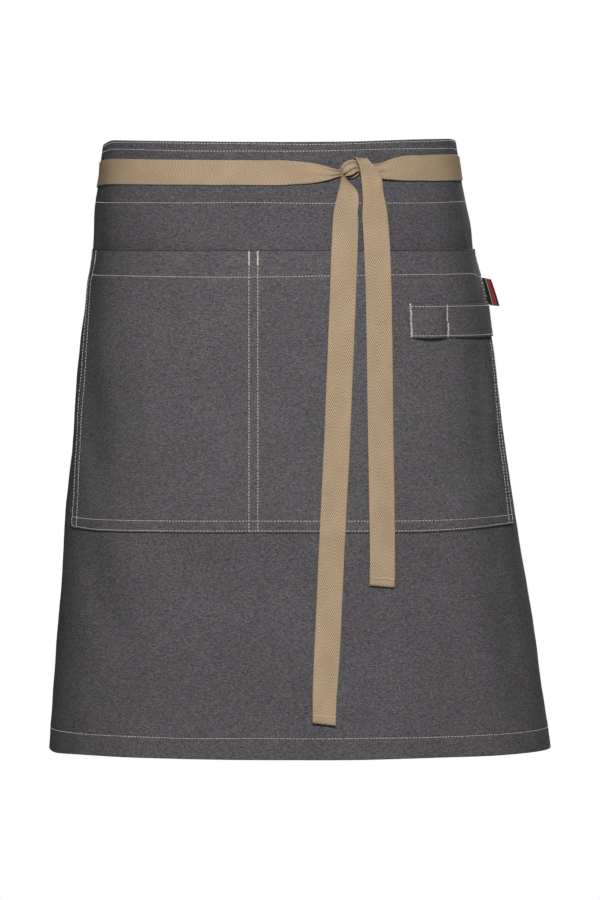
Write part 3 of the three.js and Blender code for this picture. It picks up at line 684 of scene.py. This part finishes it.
def tail_rows(table, knot_end, end, narrowed):
    """A tail that hangs from the knot and lies on the front of the apron."""
    _, start, start_lift, start_width = knot_end[:4]
    down = np.linspace(start, end, round((end - start) / (9 * MM)) + 1)[1:]
    share = (down - start) / (end - start)
    across = KNOT_ACROSS + np.interp(share, table[:, 0], table[:, 1]) * TAPE_WIDTH
    turn = np.interp(share, table[:, 0], table[:, 2])
    wide = start_width + (TAPE_WIDTH - start_width) * ramp(down, start, TAPE_WIDTH)
    wide = wide * (1 - narrowed * ramp(share, 0.86, 0.14))
    reached = np.clip(down, POCKET_TOP + 2 * MM, POCKET_BOTTOM - POCKET_MARGIN)
    on_pocket = POCKET_OUTER + pocket_puff(across, reached)
    under = on_pocket + (PANEL_OUTER - on_pocket) * ramp(down, POCKET_BOTTOM, 14 * MM)
    rest = under + TAPE_CLEARANCE + TAPE_THICKNESS / 2
    lift = start_lift + (rest - start_lift) * ramp(down, start, POCKET_TOP - start) + end_curl(end - down)
    return np.stack([across, down, lift, wide, np.full_like(down, TAPE_THICKNESS), turn], 1)


def tape_rows(sign, in_knot, tail, end, narrowed=0.0):
    """Across, down, lift, width, thickness and direction of the width, from the sewn end to the free end."""
    sizes = (TAPE_WIDTH, TAPE_WIDTH, TAPE_WIDTH, TAPE_WIDTH, TAPE_THICKNESS, 1)
    knot = in_knot * sizes + (KNOT_ACROSS, KNOT_DOWN, 0, 0, 0, 0)
    return np.concatenate([band_rows(sign, knot[0]), knot, tail_rows(tail, knot[-1], end, narrowed)])


def sweep_tape(name, rows, material):
    """The tape itself, pleated lengthwise wherever it is bunched up, with its free end folded back."""
    line = spline(rows, 2.2 * MM)
    middle = line[:, :3]
    lift, wide, stacked = (line[:, k, None] for k in (2, 3, 4))
    turn = np.radians(line[:, 5])
    side = np.stack([np.cos(turn), np.sin(turn), np.zeros_like(turn)], 1)
    face = unit(np.cross(unit(np.gradient(middle, axis=0)), side))
    if face[:, 2].mean() < -0.2:
        face = -face
    along = run_lengths(middle)[:, None]
    columns = 26
    share = -0.35 * np.cos(np.linspace(0, math.pi, columns)) + 0.65 * np.linspace(-1, 1, columns)
    tight = np.clip(1 - wide / TAPE_WIDTH, 0, 1)
    deep = 0.95 * np.maximum(stacked - TAPE_THICKNESS * 0.75, 0) * smooth(tight / 0.25)
    pleats = deep * np.cos(math.pi * (PLEATS * share + 0.35 * np.sin(along / (9 * MM))))
    half = TAPE_THICKNESS / 2 * (1 - 0.18 * smooth(tight / 0.5))
    doubled = ramp(along, along[-1] - TAIL_HEM, 0.9 * MM)
    to_edge = wide.max() / 2 * (1 - np.abs(share))
    thick = half * (1 + doubled) * folded(to_edge, 0.5 * MM, 0.04) * folded(along[-1] - along, 0.9 * MM)
    bowed = 0.22 * np.clip(lift - 3 * MM, 0, 6 * MM) * smooth(tight / 0.5)
    offset = pleats + half * doubled - bowed * share**2
    flat_line = middle[:, None] + (share * wide / 2)[..., None] * side[:, None]
    points = []
    for level in (1, -1):
        chart = flat_line + (offset + level * thick)[..., None] * face[:, None]
        points.append(place(*np.moveaxis(chart, -1, 0)).reshape(-1, 3))
    flat = np.stack(np.broadcast_arrays(share * TAPE_WIDTH / 2, along), -1).reshape(-1, 2)
    faces = closed_faces(*offset.shape)
    made = make_piece(name, np.concatenate(points), faces, np.concatenate([flat, flat]), material)
    return made, float(along[-1, 0])


# Side label
def label_profile():
    """The folded ribbon's section, outwards and off the cloth, for its outer and its inner face."""
    legs = np.linspace(-LABEL_ROOT, LABEL_REACH, 12)
    swing = LABEL_SWING * ramp(legs, -LABEL_ROOT, 6 * MM)
    ahead = np.stack([np.cos(swing), np.sin(swing)], 1)
    off = np.stack([-np.sin(swing), np.cos(swing)], 1)
    line = np.cumsum(np.diff(legs, prepend=legs[0])[:, None] * ahead, axis=0) - (LABEL_ROOT, 0)
    gap = 0.12 * MM + 0.5 * MM * np.sin(np.linspace(0, math.pi, len(legs)))[:, None] ** 2
    turn = np.linspace(math.pi / 2, -math.pi / 2, 9)[1:-1, None]
    bow = np.cos(turn) * ahead[-1] + np.sin(turn) * off[-1]
    return ahead[-1], [
        np.concatenate([line + off * away, line[-1] + away[-1] * bow, (line - off * away)[::-1]])
        for away in (gap + LABEL_THICKNESS, gap)
    ]


def make_label(material):
    """A ribbon folded in two, sewn under the pocket's edge and springing away from the cloth."""
    ahead, sections = label_profile()
    from_top = np.linspace(0, LABEL_HEIGHT, 14)
    down = LABEL_TOP + from_top
    root = np.full_like(down, pocket_warp(POCKET_RIGHT + 1.3 * MM, LABEL_TOP)[0])
    downwards = unit(place(root, down + 10 * MM, PANEL_OUTER) - place(root, down - 10 * MM, PANEL_OUTER))
    sideways = unit(np.cross(look_up(chart_normals, root, down), downwards))
    outwards = np.cross(downwards, sideways)
    share = (from_top / LABEL_HEIGHT)[:, None]
    base = place(root + 0.14 * from_top, down, PANEL_OUTER + 0.5 * MM)
    base += 2.5 * MM * share * (ahead[0] * sideways + ahead[1] * outwards)
    wider = 1.3 + 0.28 * share[..., None]
    points = [
        base[:, None] + wider * section[:, :1] * sideways[:, None] + section[:, 1:] * outwards[:, None]
        for section in sections
    ]
    points = np.concatenate(points).reshape(-1, 3)
    flat = np.stack(np.broadcast_arrays(run_lengths(sections[0]), from_top[:, None]), -1).reshape(-1, 2)
    faces = closed_faces(len(down), len(sections[0]))[:, ::-1]
    return make_piece("side_label_ribbon", points, faces, np.concatenate([flat, flat]), material)


# Stitches
STITCH_PITCH = 3.1 * MM
STITCH_LENGTH = 2.2 * MM
TAPE_STITCH_PITCH = 2.3 * MM
TACK_PITCH = 0.42 * MM
TACK_SCATTER = 0.38 * MM
TACK_GAPS = 0.16
THREAD = 0.24 * MM
SEAM_THREAD = 0.3 * MM


def thread_pieces(centres, directions, lift, length, radius, rings, sides, out=1, arch=1.0):
    """Short lengths of thread lying on the cloth, with their ends pulled into it.
    Centres and directions are on the flat cut, and lift gives the cloth's face there."""
    along = np.linspace(-1, 1, rings)
    size = length * (1 + 0.05 * random.standard_normal(len(centres)))
    reach = along[None] * size[:, None] / 2
    across = centres[:, :1] + directions[:, :1] * reach
    down = centres[:, 1:] + directions[:, 1:] * reach
    height = radius * (arch - (arch + 1.1) * np.abs(along[None]) ** 3)
    middle = place(across, down, lift(across, down) + out * height)
    ahead = unit(np.gradient(middle, axis=1))
    beside = unit(np.cross(ahead, look_up(chart_normals, across, down) * out))
    upright = np.cross(beside, ahead)
    thick = radius * np.sqrt(1 - 0.75 * np.abs(along) ** 4)
    angle = np.arange(sides)[:, None] / sides * 2 * math.pi
    ring = beside[:, :, None] * np.cos(angle) + upright[:, :, None] * np.sin(angle)
    points = middle[:, :, None] + ring * thick[:, None, None]
    flat = np.stack(np.broadcast_arrays((along * length / 2)[:, None], angle[:, 0] * radius), -1)
    index = np.arange(rings * sides).reshape(rings, sides)
    around = np.roll(index, -1, 1)
    one = np.stack([side.ravel() for side in (index[:-1], around[:-1], around[1:], index[1:])], 1)
    starts = np.arange(len(centres)) * index.size
    faces = (one + starts[:, None, None]).reshape(-1, 4)
    return points.reshape(-1, 3), faces, np.tile(flat.reshape(-1, 2), (len(centres), 1))


def along_path(path, pitch):
    """Even places and directions along a line on the flat cut."""
    reached = run_lengths(path)

    def there(length):
        return np.stack([np.interp(length, reached, path[:, k]) for k in (0, 1)], 1)

    at = np.arange(pitch / 2, reached[-1], pitch)
    at = at + random.normal(0, 0.05 * pitch, len(at))
    ahead = unit(there(at + 0.3 * MM) - there(at - 0.3 * MM))
    lean = random.normal(0.05, 0.03, (len(at), 1))
    return there(at), ahead + lean * np.stack([-ahead[:, 1], ahead[:, 0]], 1)


def stitch_row(path, lift, out=1, warp=None, pitch=STITCH_PITCH, radius=THREAD):
    centres, directions = along_path(path, pitch)
    if warp:
        centres = np.stack(warp(*centres.T), 1)
    rings, sides = (7, 6) if out > 0 else (5, 5)
    length = STITCH_LENGTH * pitch / STITCH_PITCH
    return thread_pieces(centres, directions, lift, length, radius, rings, sides, out)


def bar_tack(start, end, lift, wide, warp):
    """A dense zigzag of thread over a short line."""
    reach = np.subtract(end, start)
    run = unit(reach)
    across = np.array([-run[1], run[0]])
    count = max(4, round(np.linalg.norm(reach) / TACK_PITCH))
    centres = start + (np.arange(count)[:, None] + 0.5) / count * reach
    centres = np.stack(warp(*centres.T), 1) + random.normal(0, TACK_SCATTER, (count, 1)) * across
    lean = np.where(np.arange(count) % 2, 0.2, -0.2) + random.normal(0, 0.12, count)
    directions = across + lean[:, None] * run
    kept = random.random(count) > TACK_GAPS
    return thread_pieces(centres[kept], directions[kept], lift, wide, THREAD * 0.85, 7, 6, arch=1.3)


def across_row(down, low, high, step=6 * MM):
    at = np.linspace(low, high, max(2, round((high - low) / step)))
    return np.stack([at, np.full_like(at, down)], 1)


def down_row(across, low, high):
    return across_row(across, low, high)[:, ::-1]


def hem_path(down):
    """A row from side to side, which wanders a little like hand-guided sewing."""
    path = across_row(down, PANEL_LEFT + 2 * MM, PANEL_RIGHT - 2 * MM)
    slow, quick = np.sin(path[:, 0] / (47 * MM) + 300 * down), np.sin(path[:, 0] / (19 * MM))
    path[:, 1] += 0.35 * MM * slow + 0.2 * MM * quick
    return path


def unwarped(lift):
    """The pocket's lift at places that have been moved with its leaning edge."""

    def there(across, down):
        moved, lowered = pocket_warp(across, down)
        return lift(2 * across - moved, 2 * down - lowered)

    return there


def pocket_row(path, lift=pocket_outer, radius=THREAD):
    return stitch_row(path, unwarped(lift), warp=pocket_warp, radius=radius)


def pocket_tack(start, end, lift=pocket_outer, wide=1.6 * MM):
    return bar_tack(start, end, unwarped(lift), wide, pocket_warp)


def waistband_stitches():
    faces = ((panel_outer, 1), (facing_inner, -1))
    return [stitch_row(hem_path(row), face, out) for face, out in faces for row in WAIST_ROWS]


def through_panel(path):
    """A row that shows on both faces of the panel."""
    return [stitch_row(path, panel_outer), stitch_row(path, panel_inner, -1)]


def side_hem_stitches():
    paths = [down_row(row, FACING_DEPTH + 1 * MM, APRON_LENGTH - 2 * MM) for row in SIDE_ROWS]
    return [row for path in paths for row in through_panel(path)]


def pocket_stitches():
    top = POCKET_TOP + 1 * MM
    mouth = across_row(MOUTH_ROW, POCKET_LEFT + 13 * MM, POCKET_RIGHT - 3 * MM)
    mouth[:, 1] = mouth_row(mouth[:, 0])
    outer_left, inner_left, inner_right, outer_right = (
        down_row(row, top, POCKET_BOTTOM - 2 * MM) for row in POCKET_LEFT_ROWS + POCKET_RIGHT_ROWS
    )
    inner_left[:, 0] += CORNER_BEND * ramp(inner_left[:, 1], POCKET_TOP + 36 * MM, -26 * MM)
    made = [pocket_row(path) for path in (mouth, outer_left, inner_left, inner_right, outer_right)]
    for row in SEAM_ROWS:
        made.append(pocket_row(down_row(row, top, POCKET_BOTTOM - 2 * MM), radius=SEAM_THREAD))
    for row in POCKET_BOTTOM_ROWS:
        made.append(pocket_row(across_row(row, POCKET_LEFT + 2 * MM, POCKET_RIGHT - 2 * MM)))
    for row in SEAM_ROWS:
        made.append(pocket_tack((row, top), (row, top + 14 * MM)))
    for row in (POCKET_LEFT_ROWS[1] + CORNER_BEND, POCKET_RIGHT_ROWS[0]):
        made.append(pocket_tack((row, top), (row, top + 12 * MM), wide=2.6 * MM))
    return made


def tool_loop_stitches():
    tacks = (
        (LOOPS_LEFT + 0.6 * MM, LOOPS_TOP - 0.5 * MM, LOOPS_LEFT + 1.9 * MM, LOOPS_BOTTOM - 1 * MM),
        (LOOPS_MIDDLE - 0.6 * MM, LOOPS_TOP + 1 * MM, LOOPS_MIDDLE - 0.6 * MM, LOOPS_TOP + 17 * MM),
        (LOOPS_MIDDLE + 0.7 * MM, LOOPS_TOP + 18.5 * MM, LOOPS_MIDDLE + 0.7 * MM, LOOPS_BOTTOM - 1 * MM),
    )
    made = []
    for row in LOOP_ROWS:
        path = across_row(row, LOOPS_LEFT + 1 * MM, POCKET_RIGHT - 1 * MM, 2 * MM)
        made.append(pocket_row(path, loop_outer))
    for tack in tacks:
        made.append(pocket_tack(tack[:2], tack[2:], loop_outer))
    for row in (POCKET_RIGHT - 1.6 * MM, POCKET_RIGHT - 4.4 * MM):
        made.append(pocket_row(down_row(row, LOOPS_TOP + 1 * MM, LOOPS_BOTTOM - 1 * MM), loop_outer))
    return made


def tape_end_stitches():
    """Two rows, close together, across each free end where the tape is folded back."""
    made = []
    tails = ((LEFT_TAIL, LEFT_TAIL_END, 10.3 * MM), (RIGHT_TAIL, RIGHT_TAIL_END, 11.4 * MM))
    for table, end, reach in tails:
        middle = KNOT_ACROSS + table[-1, 1] * TAPE_WIDTH
        lean = math.radians(table[-1, 2])
        at = np.array([-reach, reach])
        for above_end in (8.6 * MM, 7.7 * MM):
            face = PANEL_OUTER + TAPE_CLEARANCE + 2 * TAPE_THICKNESS + 0.1 * MM + end_curl(above_end)
            path = np.stack([middle + at * math.cos(lean), end - above_end + at * math.sin(lean)], 1)
            row = stitch_row(path, lambda across, down: 0 * across + face, pitch=TAPE_STITCH_PITCH)
            made.append(row)
    return made


def sew(name, parts, material):
    """All stitches of one kind as one piece."""
    points, faces, flat = zip(*parts)
    starts = np.cumsum([0, *(len(some) for some in points)])
    faces = [some + start for some, start in zip(faces, starts)]
    made = make_piece(name, np.concatenate(points), np.concatenate(faces), np.concatenate(flat), material)
    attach(made, "root")


# Finishes, with their pitches in millimetres
WARP_PITCH = 0.84
WEFT_PITCH = 0.92
RIB_PITCH = 3.5
YARN_PITCH = 0.62
PLY_PITCH = 0.42


class Nodes:
    """Writes shader nodes into one tree."""

    def __init__(self, tree):
        self.tree = tree

    def plug(self, value, socket):
        if isinstance(value, bpy.types.NodeSocket):
            self.tree.links.new(value, socket)
        else:
            socket.default_value = value

    def add(self, kind, inputs, **settings):
        made = self.tree.nodes.new("ShaderNode" + kind)
        for name, value in settings.items():
            setattr(made, name, value)
        for socket, value in inputs.items():
            self.plug(value, made.inputs[socket])
        return made.outputs

    def maths(self, operation, *values):
        return self.add("Math", dict(enumerate(values)), operation=operation)[0]

    def plus(self, first, second):
        return self.maths("ADD", first, second)

    def times(self, first, second):
        return self.maths("MULTIPLY", first, second)

    def away_from(self, value, middle):
        return self.maths("ABSOLUTE", self.maths("SUBTRACT", value, middle))

    def wave(self, value, length):
        """A sine between -1 and 1."""
        return self.maths("SINE", self.times(value, 2 * math.pi / length))

    def ribs(self, value, length):
        """The same wave between 0 and 1."""
        return self.plus(self.times(self.wave(value, length), 0.5), 0.5)

    def millimetres(self, place):
        split = self.add("SeparateXYZ", {0: place})
        return self.times(split[0], 1 / MM), self.times(split[1], 1 / MM)

    def noise(self, first, second, waves, layer=0.0, detail=2.0, roughness=0.5):
        """Random grain with so many waves in a millimetre along each of two directions."""
        scaled = {0: self.times(first, waves[0]), 1: self.times(second, waves[1]), 2: layer}
        vector = self.add("CombineXYZ", scaled)[0]
        grain = {"Vector": vector, "Scale": 1.0, "Detail": detail, "Roughness": roughness}
        return self.add("TexNoise", grain)[0]

    def spread(self, value, low, high, to_low=0.0, to_high=1.0):
        limits = {"From Min": low, "From Max": high, "To Min": to_low, "To Max": to_high}
        return self.add("MapRange", {"Value": value, **limits}, interpolation_type="SMOOTHSTEP")[0]

    def mix(self, share, low, high):
        return self.add("Mix", {0: share, 6: low, 7: high}, data_type="RGBA")[2]

    def brightened(self, colour, by):
        return self.add("VectorMath", {0: colour, "Scale": by}, operation="SCALE")[0]


def new_group(name, **inputs):
    """A group that takes a place on the flat cut, in metres, and gives a colour and a height."""
    group = bpy.data.node_groups.new(name, "ShaderNodeTree")
    for label, kind in {"Place": "Vector", **inputs}.items():
        group.interface.new_socket(name=label, in_out="INPUT", socket_type="NodeSocket" + kind)
    for label, kind in (("Color", "Color"), ("Height", "Float")):
        group.interface.new_socket(name=label, in_out="OUTPUT", socket_type="NodeSocket" + kind)
    nodes = Nodes(group)
    given = group.nodes.new("NodeGroupInput").outputs
    result = group.nodes.new("NodeGroupOutput").inputs
    return nodes, given, result


def chambray_group():
    """Plain weave of dark warp and paler weft with slubs, and a line of painted shade: the last input is how
    far down that line lies, where the colour is darkened to stand in for shadow.
    """
    nodes, given, result = new_group("chambray weave", Warp="Color", Weft="Color", Fold="Float")
    across, down = nodes.millimetres(given["Place"])
    sway = nodes.times(nodes.maths("SUBTRACT", nodes.noise(across, down, (0.12, 0.12)), 0.5), 2.4)
    bent = nodes.plus(across, sway), nodes.plus(down, sway)
    over = nodes.times(nodes.wave(bent[0], WARP_PITCH), nodes.wave(bent[1], WEFT_PITCH))
    warp_slub = nodes.noise(*bent, (2.0, 0.3), 3.1, roughness=0.6)
    weft_slub = nodes.noise(*bent, (0.28, 1.9), 7.7, roughness=0.6)
    speckle = nodes.noise(*bent, (1.8, 1.6), 5.5, 1.0, 0.6)
    warp = nodes.brightened(given["Warp"], nodes.spread(warp_slub, 0.3, 0.7, 0.46, 1.58))
    weft = nodes.brightened(given["Weft"], nodes.spread(weft_slub, 0.3, 0.7, 0.46, 1.58))
    woven = nodes.mix(nodes.spread(over, -0.35, 0.35), weft, warp)
    woven = nodes.brightened(woven, nodes.spread(speckle, 0.28, 0.72, 0.5, 1.52))
    fade = nodes.spread(nodes.noise(across, down, (0.014, 0.014), 1.0), 0.3, 0.7, 0.95, 1.05)
    # Painted shade: a thin line where the colour is darkened to 0.45, standing in for the shadow along the
    # pocket's mouth
    painted_shade = nodes.spread(nodes.away_from(down, given["Fold"]), 0.35, 1.1, 0.45, 1.0)
    nodes.plug(nodes.brightened(woven, nodes.times(fade, painted_shade)), result["Color"])
    slubs = nodes.times(nodes.plus(warp_slub, weft_slub), 0.7)
    nodes.plug(nodes.plus(nodes.times(nodes.maths("ABSOLUTE", over), 0.5), slubs), result["Height"])
    return nodes.tree


def herringbone_group():
    """Twill whose ribs change direction in stripes along a tape."""
    nodes, given, result = new_group("herringbone tape", Rib="Color", Groove="Color", Stripe="Float")
    across, along = nodes.millimetres(given["Place"])
    zigzag = nodes.maths("PINGPONG", nodes.plus(across, 40.0), given["Stripe"])
    sway = nodes.times(nodes.noise(across, along, (0.2, 0.1)), 1.2)
    diagonal = nodes.plus(nodes.plus(along, nodes.times(zigzag, 1.8)), sway)
    ribs = nodes.times(nodes.ribs(diagonal, RIB_PITCH), 0.72)
    twill = nodes.plus(ribs, nodes.times(nodes.ribs(along, YARN_PITCH), 0.28))
    uneven = nodes.noise(across, along, (1.5, 1.1), 2.0, roughness=0.6)
    share = nodes.plus(nodes.times(twill, 0.6), nodes.times(uneven, 1.2))
    colour = nodes.mix(nodes.spread(share, 0.45, 1.25), given["Groove"], given["Rib"])
    broad = nodes.spread(nodes.noise(across, along, (0.05, 0.03), 9.0), 0.3, 0.7, 0.94, 1.05)
    nodes.plug(nodes.brightened(colour, broad), result["Color"])
    nodes.plug(share, result["Height"])
    return nodes.tree


def thread_group():
    """Twisted sewing thread."""
    nodes, given, result = new_group("twisted thread", Light="Color", Dark="Color")
    along, around = nodes.millimetres(given["Place"])
    ply = nodes.ribs(nodes.plus(along, around), PLY_PITCH)
    nodes.plug(nodes.mix(ply, given["Dark"], given["Light"]), result["Color"])
    nodes.plug(ply, result["Height"])
    return nodes.tree


def ribbon_group():
    """Black satin ribbon with a wide and a thin stripe woven in, on both sides of where it is folded."""
    nodes, given, result = new_group("striped ribbon", Wide="Color", Thin="Color")
    along, down = nodes.millimetres(given["Place"])
    from_fold = nodes.away_from(along, 17.4)
    wide = nodes.spread(nodes.away_from(from_fold, 5.9), 2.6, 2.4)
    thin = nodes.spread(nodes.away_from(from_fold, 10.2), 0.7, 0.55)
    grain = nodes.noise(along, down, (1.6, 3.0))
    satin = nodes.mix(grain, (0.006, 0.006, 0.007, 1), (0.018, 0.018, 0.02, 1))
    striped = nodes.mix(thin, nodes.mix(wide, satin, given["Wide"]), given["Thin"])
    nodes.plug(striped, result["Color"])
    nodes.plug(nodes.plus(nodes.times(nodes.wave(down, 0.5), 0.5), grain), result["Height"])
    return nodes.tree


def new_material(name, roughness):
    material = bpy.data.materials.new(name)
    material.use_nodes = True
    shader = material.node_tree.nodes["Principled BSDF"].inputs
    shader["Roughness"].default_value = roughness
    return material, shader


def finish(name, group, roughness, specular, raised, **values):
    """A material whose colour and relief come from a group, with its own values."""
    material, shader = new_material(name, roughness)
    shader["Specular IOR Level"].default_value = specular
    nodes = Nodes(material.node_tree)
    on_cut = nodes.add("UVMap", {}, uv_map="flat")[0]
    surface = nodes.add("Group", {"Place": on_cut, **values}, node_tree=group)
    relief = nodes.add("Bump", {"Height": surface["Height"], "Distance": raised, "Strength": 1.0})
    nodes.plug(surface["Color"], shader["Base Color"])
    nodes.plug(relief[0], shader["Normal"])
    return material


# The last value places the line of painted shade; by default it lies far above the cloth, so none shows
def chambray(name, warp, weft, shade_line_down=-50.0):
    return finish(name, chambray_weave, 0.92, 0.12, 0.12 * MM, Warp=(*warp, 1), Weft=(*weft, 1), Fold=shade_line_down)


def thread(name, light):
    dark = (0.62 * part for part in light)
    return finish(name, twisted_thread, 0.6, 0.3, 0.06 * MM, Light=(*light, 1), Dark=(*dark, 1))


chambray_weave = chambray_group()
twisted_thread = thread_group()
cloth_finish = chambray("chambray", (0.036, 0.034, 0.039), (0.088, 0.083, 0.085))
# The line of painted shade lies just under the pocket's top edge, standing in for the shade at its mouth
shade_line_at_mouth = POCKET_TOP / MM + 0.3
pocket_finish = chambray("pocket chambray", (0.039, 0.037, 0.042), (0.093, 0.088, 0.09), shade_line_at_mouth)
inside_finish = chambray("chambray inside", (0.04, 0.038, 0.043), (0.1, 0.095, 0.097))
khaki = {"Rib": (0.385, 0.284, 0.185, 1), "Groove": (0.125, 0.086, 0.052, 1), "Stripe": 6.2}
tape_finish = finish("khaki tape", herringbone_group(), 0.85, 0.15, 0.22 * MM, **khaki)
red_and_pale = {"Wide": (0.33, 0.022, 0.028, 1), "Thin": (0.28, 0.27, 0.25, 1)}
ribbon_finish = finish("label ribbon", ribbon_group(), 0.5, 0.3, 0.06 * MM, **red_and_pale)
cream_thread = thread("cream thread", (0.74, 0.695, 0.6))
khaki_thread = thread("khaki thread", (0.72, 0.6, 0.43))

# Pieces
panel = make_panel(cloth_finish)
facing = make_facing(inside_finish)
pocket = make_pocket(pocket_finish)
loops = make_loops(pocket_finish)
left_rows = tape_rows(-1, LEFT_TAPE_IN_KNOT, RIGHT_TAIL, RIGHT_TAIL_END)
right_rows = tape_rows(1, RIGHT_TAPE_IN_KNOT, LEFT_TAIL, LEFT_TAIL_END, narrowed=0.1)
tape_left, left_length = sweep_tape("tie_tape_left_tape", left_rows, tape_finish)
tape_right, right_length = sweep_tape("tie_tape_right_tape", right_rows, tape_finish)
label = make_label(ribbon_finish)
sew("waistband_stitching", waistband_stitches(), cream_thread)
sew("bottom_hem_stitching", through_panel(hem_path(HEM_ROW)), cream_thread)
sew("side_hem_stitching", side_hem_stitches(), cream_thread)
sew("pocket_stitching", pocket_stitches(), cream_thread)
sew("tool_loop_stitching", tool_loop_stitches(), cream_thread)
sew("tape_end_stitching", tape_end_stitches(), khaki_thread)

# Each cloth piece: its node, its slot, the size it was cut to, how it is held and what it rests on
PLAN = (
    (panel, "apron_panel", "chambray", (APRON_WIDTH, APRON_LENGTH), "hung", "tie_tape_left_tape"),
    (facing, "waistband_facing", "chambray_inside", (APRON_WIDTH, FACING_DEPTH), "hung", "apron_panel_cloth"),
    (pocket, "front_pocket", "chambray", (POCKET_WIDTH, POCKET_HEIGHT), "hung", "apron_panel_cloth"),
    (loops, "tool_loops", "chambray", (LOOPS_LENGTH, LOOPS_HEIGHT), "hung", "front_pocket_cloth"),
    (label, "side_label", "label", (LABEL_LENGTH, LABEL_HEIGHT), "folded", "apron_panel_cloth"),
    (tape_left, "tie_tape_left", "tape", (TAPE_WIDTH, left_length), "draped", "apron_panel_cloth"),
    (tape_right, "tie_tape_right", "tape", (TAPE_WIDTH, right_length), "draped", "apron_panel_cloth"),
)
for made, node_name, slot_name, flat, held, rests_on in PLAN:
    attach(made, "root")
    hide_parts(node_name)

# Studio
scene = bpy.context.scene
scene.view_settings.view_transform = "Standard"


def make_sky():
    """White where the camera sees it, and dim as a light."""
    world = bpy.data.worlds.new("studio")
    world.use_nodes = True
    nodes = Nodes(world.node_tree)
    sky = world.node_tree.nodes["Background"].inputs
    seen = nodes.add("LightPath", {})["Is Camera Ray"]
    sky["Color"].default_value = (1, 1, 1, 1)
    nodes.plug(nodes.add("MapRange", {"Value": seen, "To Min": 0.06, "To Max": 1.0})[0], sky["Strength"])
    scene.world = world


def aim(made, at, towards):
    made.location = at
    made.rotation_euler = (Vector(towards) - Vector(at)).to_track_quat("-Z", "Y").to_euler()
    scene.collection.objects.link(made)


def soft_light(name, at, towards, size, power):
    lamp = bpy.data.lights.new(name, "AREA")
    lamp.shape = "DISK"
    lamp.size = size
    lamp.energy = power
    made = bpy.data.objects.new(name, lamp)
    made.visible_camera = False
    aim(made, at, towards)


def make_floor(level=-1.02, reach=3.0):
    """A wide round pale floor."""
    mesh = bpy.data.meshes.new("floor")
    angles = np.linspace(0, 2 * math.pi, 97)[:-1]
    points = np.stack([reach * np.cos(angles), reach * np.sin(angles), np.full_like(angles, level)], 1)
    mesh.from_pydata(points.tolist(), [], [list(range(len(angles)))])
    material, shader = new_material("pale floor", 0.9)
    shader["Base Color"].default_value = (0.55, 0.55, 0.55, 1)
    mesh.materials.append(material)
    floor = bpy.data.objects.new("floor", mesh)
    scene.collection.objects.link(floor)


def make_camera():
    """At the photograph's viewing angle, far off with a long lens."""
    lens = bpy.data.cameras.new("camera")
    lens.sensor_fit = "VERTICAL"
    lens.sensor_height = 36
    lens.sensor_width = 36
    lens.lens = 309.2
    lens.clip_end = 100
    camera = bpy.data.objects.new("camera", lens)
    aim(camera, (20.4 * MM, -7640 * MM, 24 * MM), (20.4 * MM, -140 * MM, -268.5 * MM))
    scene.camera = camera


make_sky()
soft_light("key light", (0.1, -3.5, 1.9), (0, -0.1, -0.28), 0.5, 206)
soft_light("left fill", (-0.5, -4.0, 0.8), (0, -0.1, -0.25), 1.2, 18)
soft_light("back light", (0.7, 3.8, 1.3), (0, 0, -0.3), 2.0, 200)
make_floor()
make_camera()
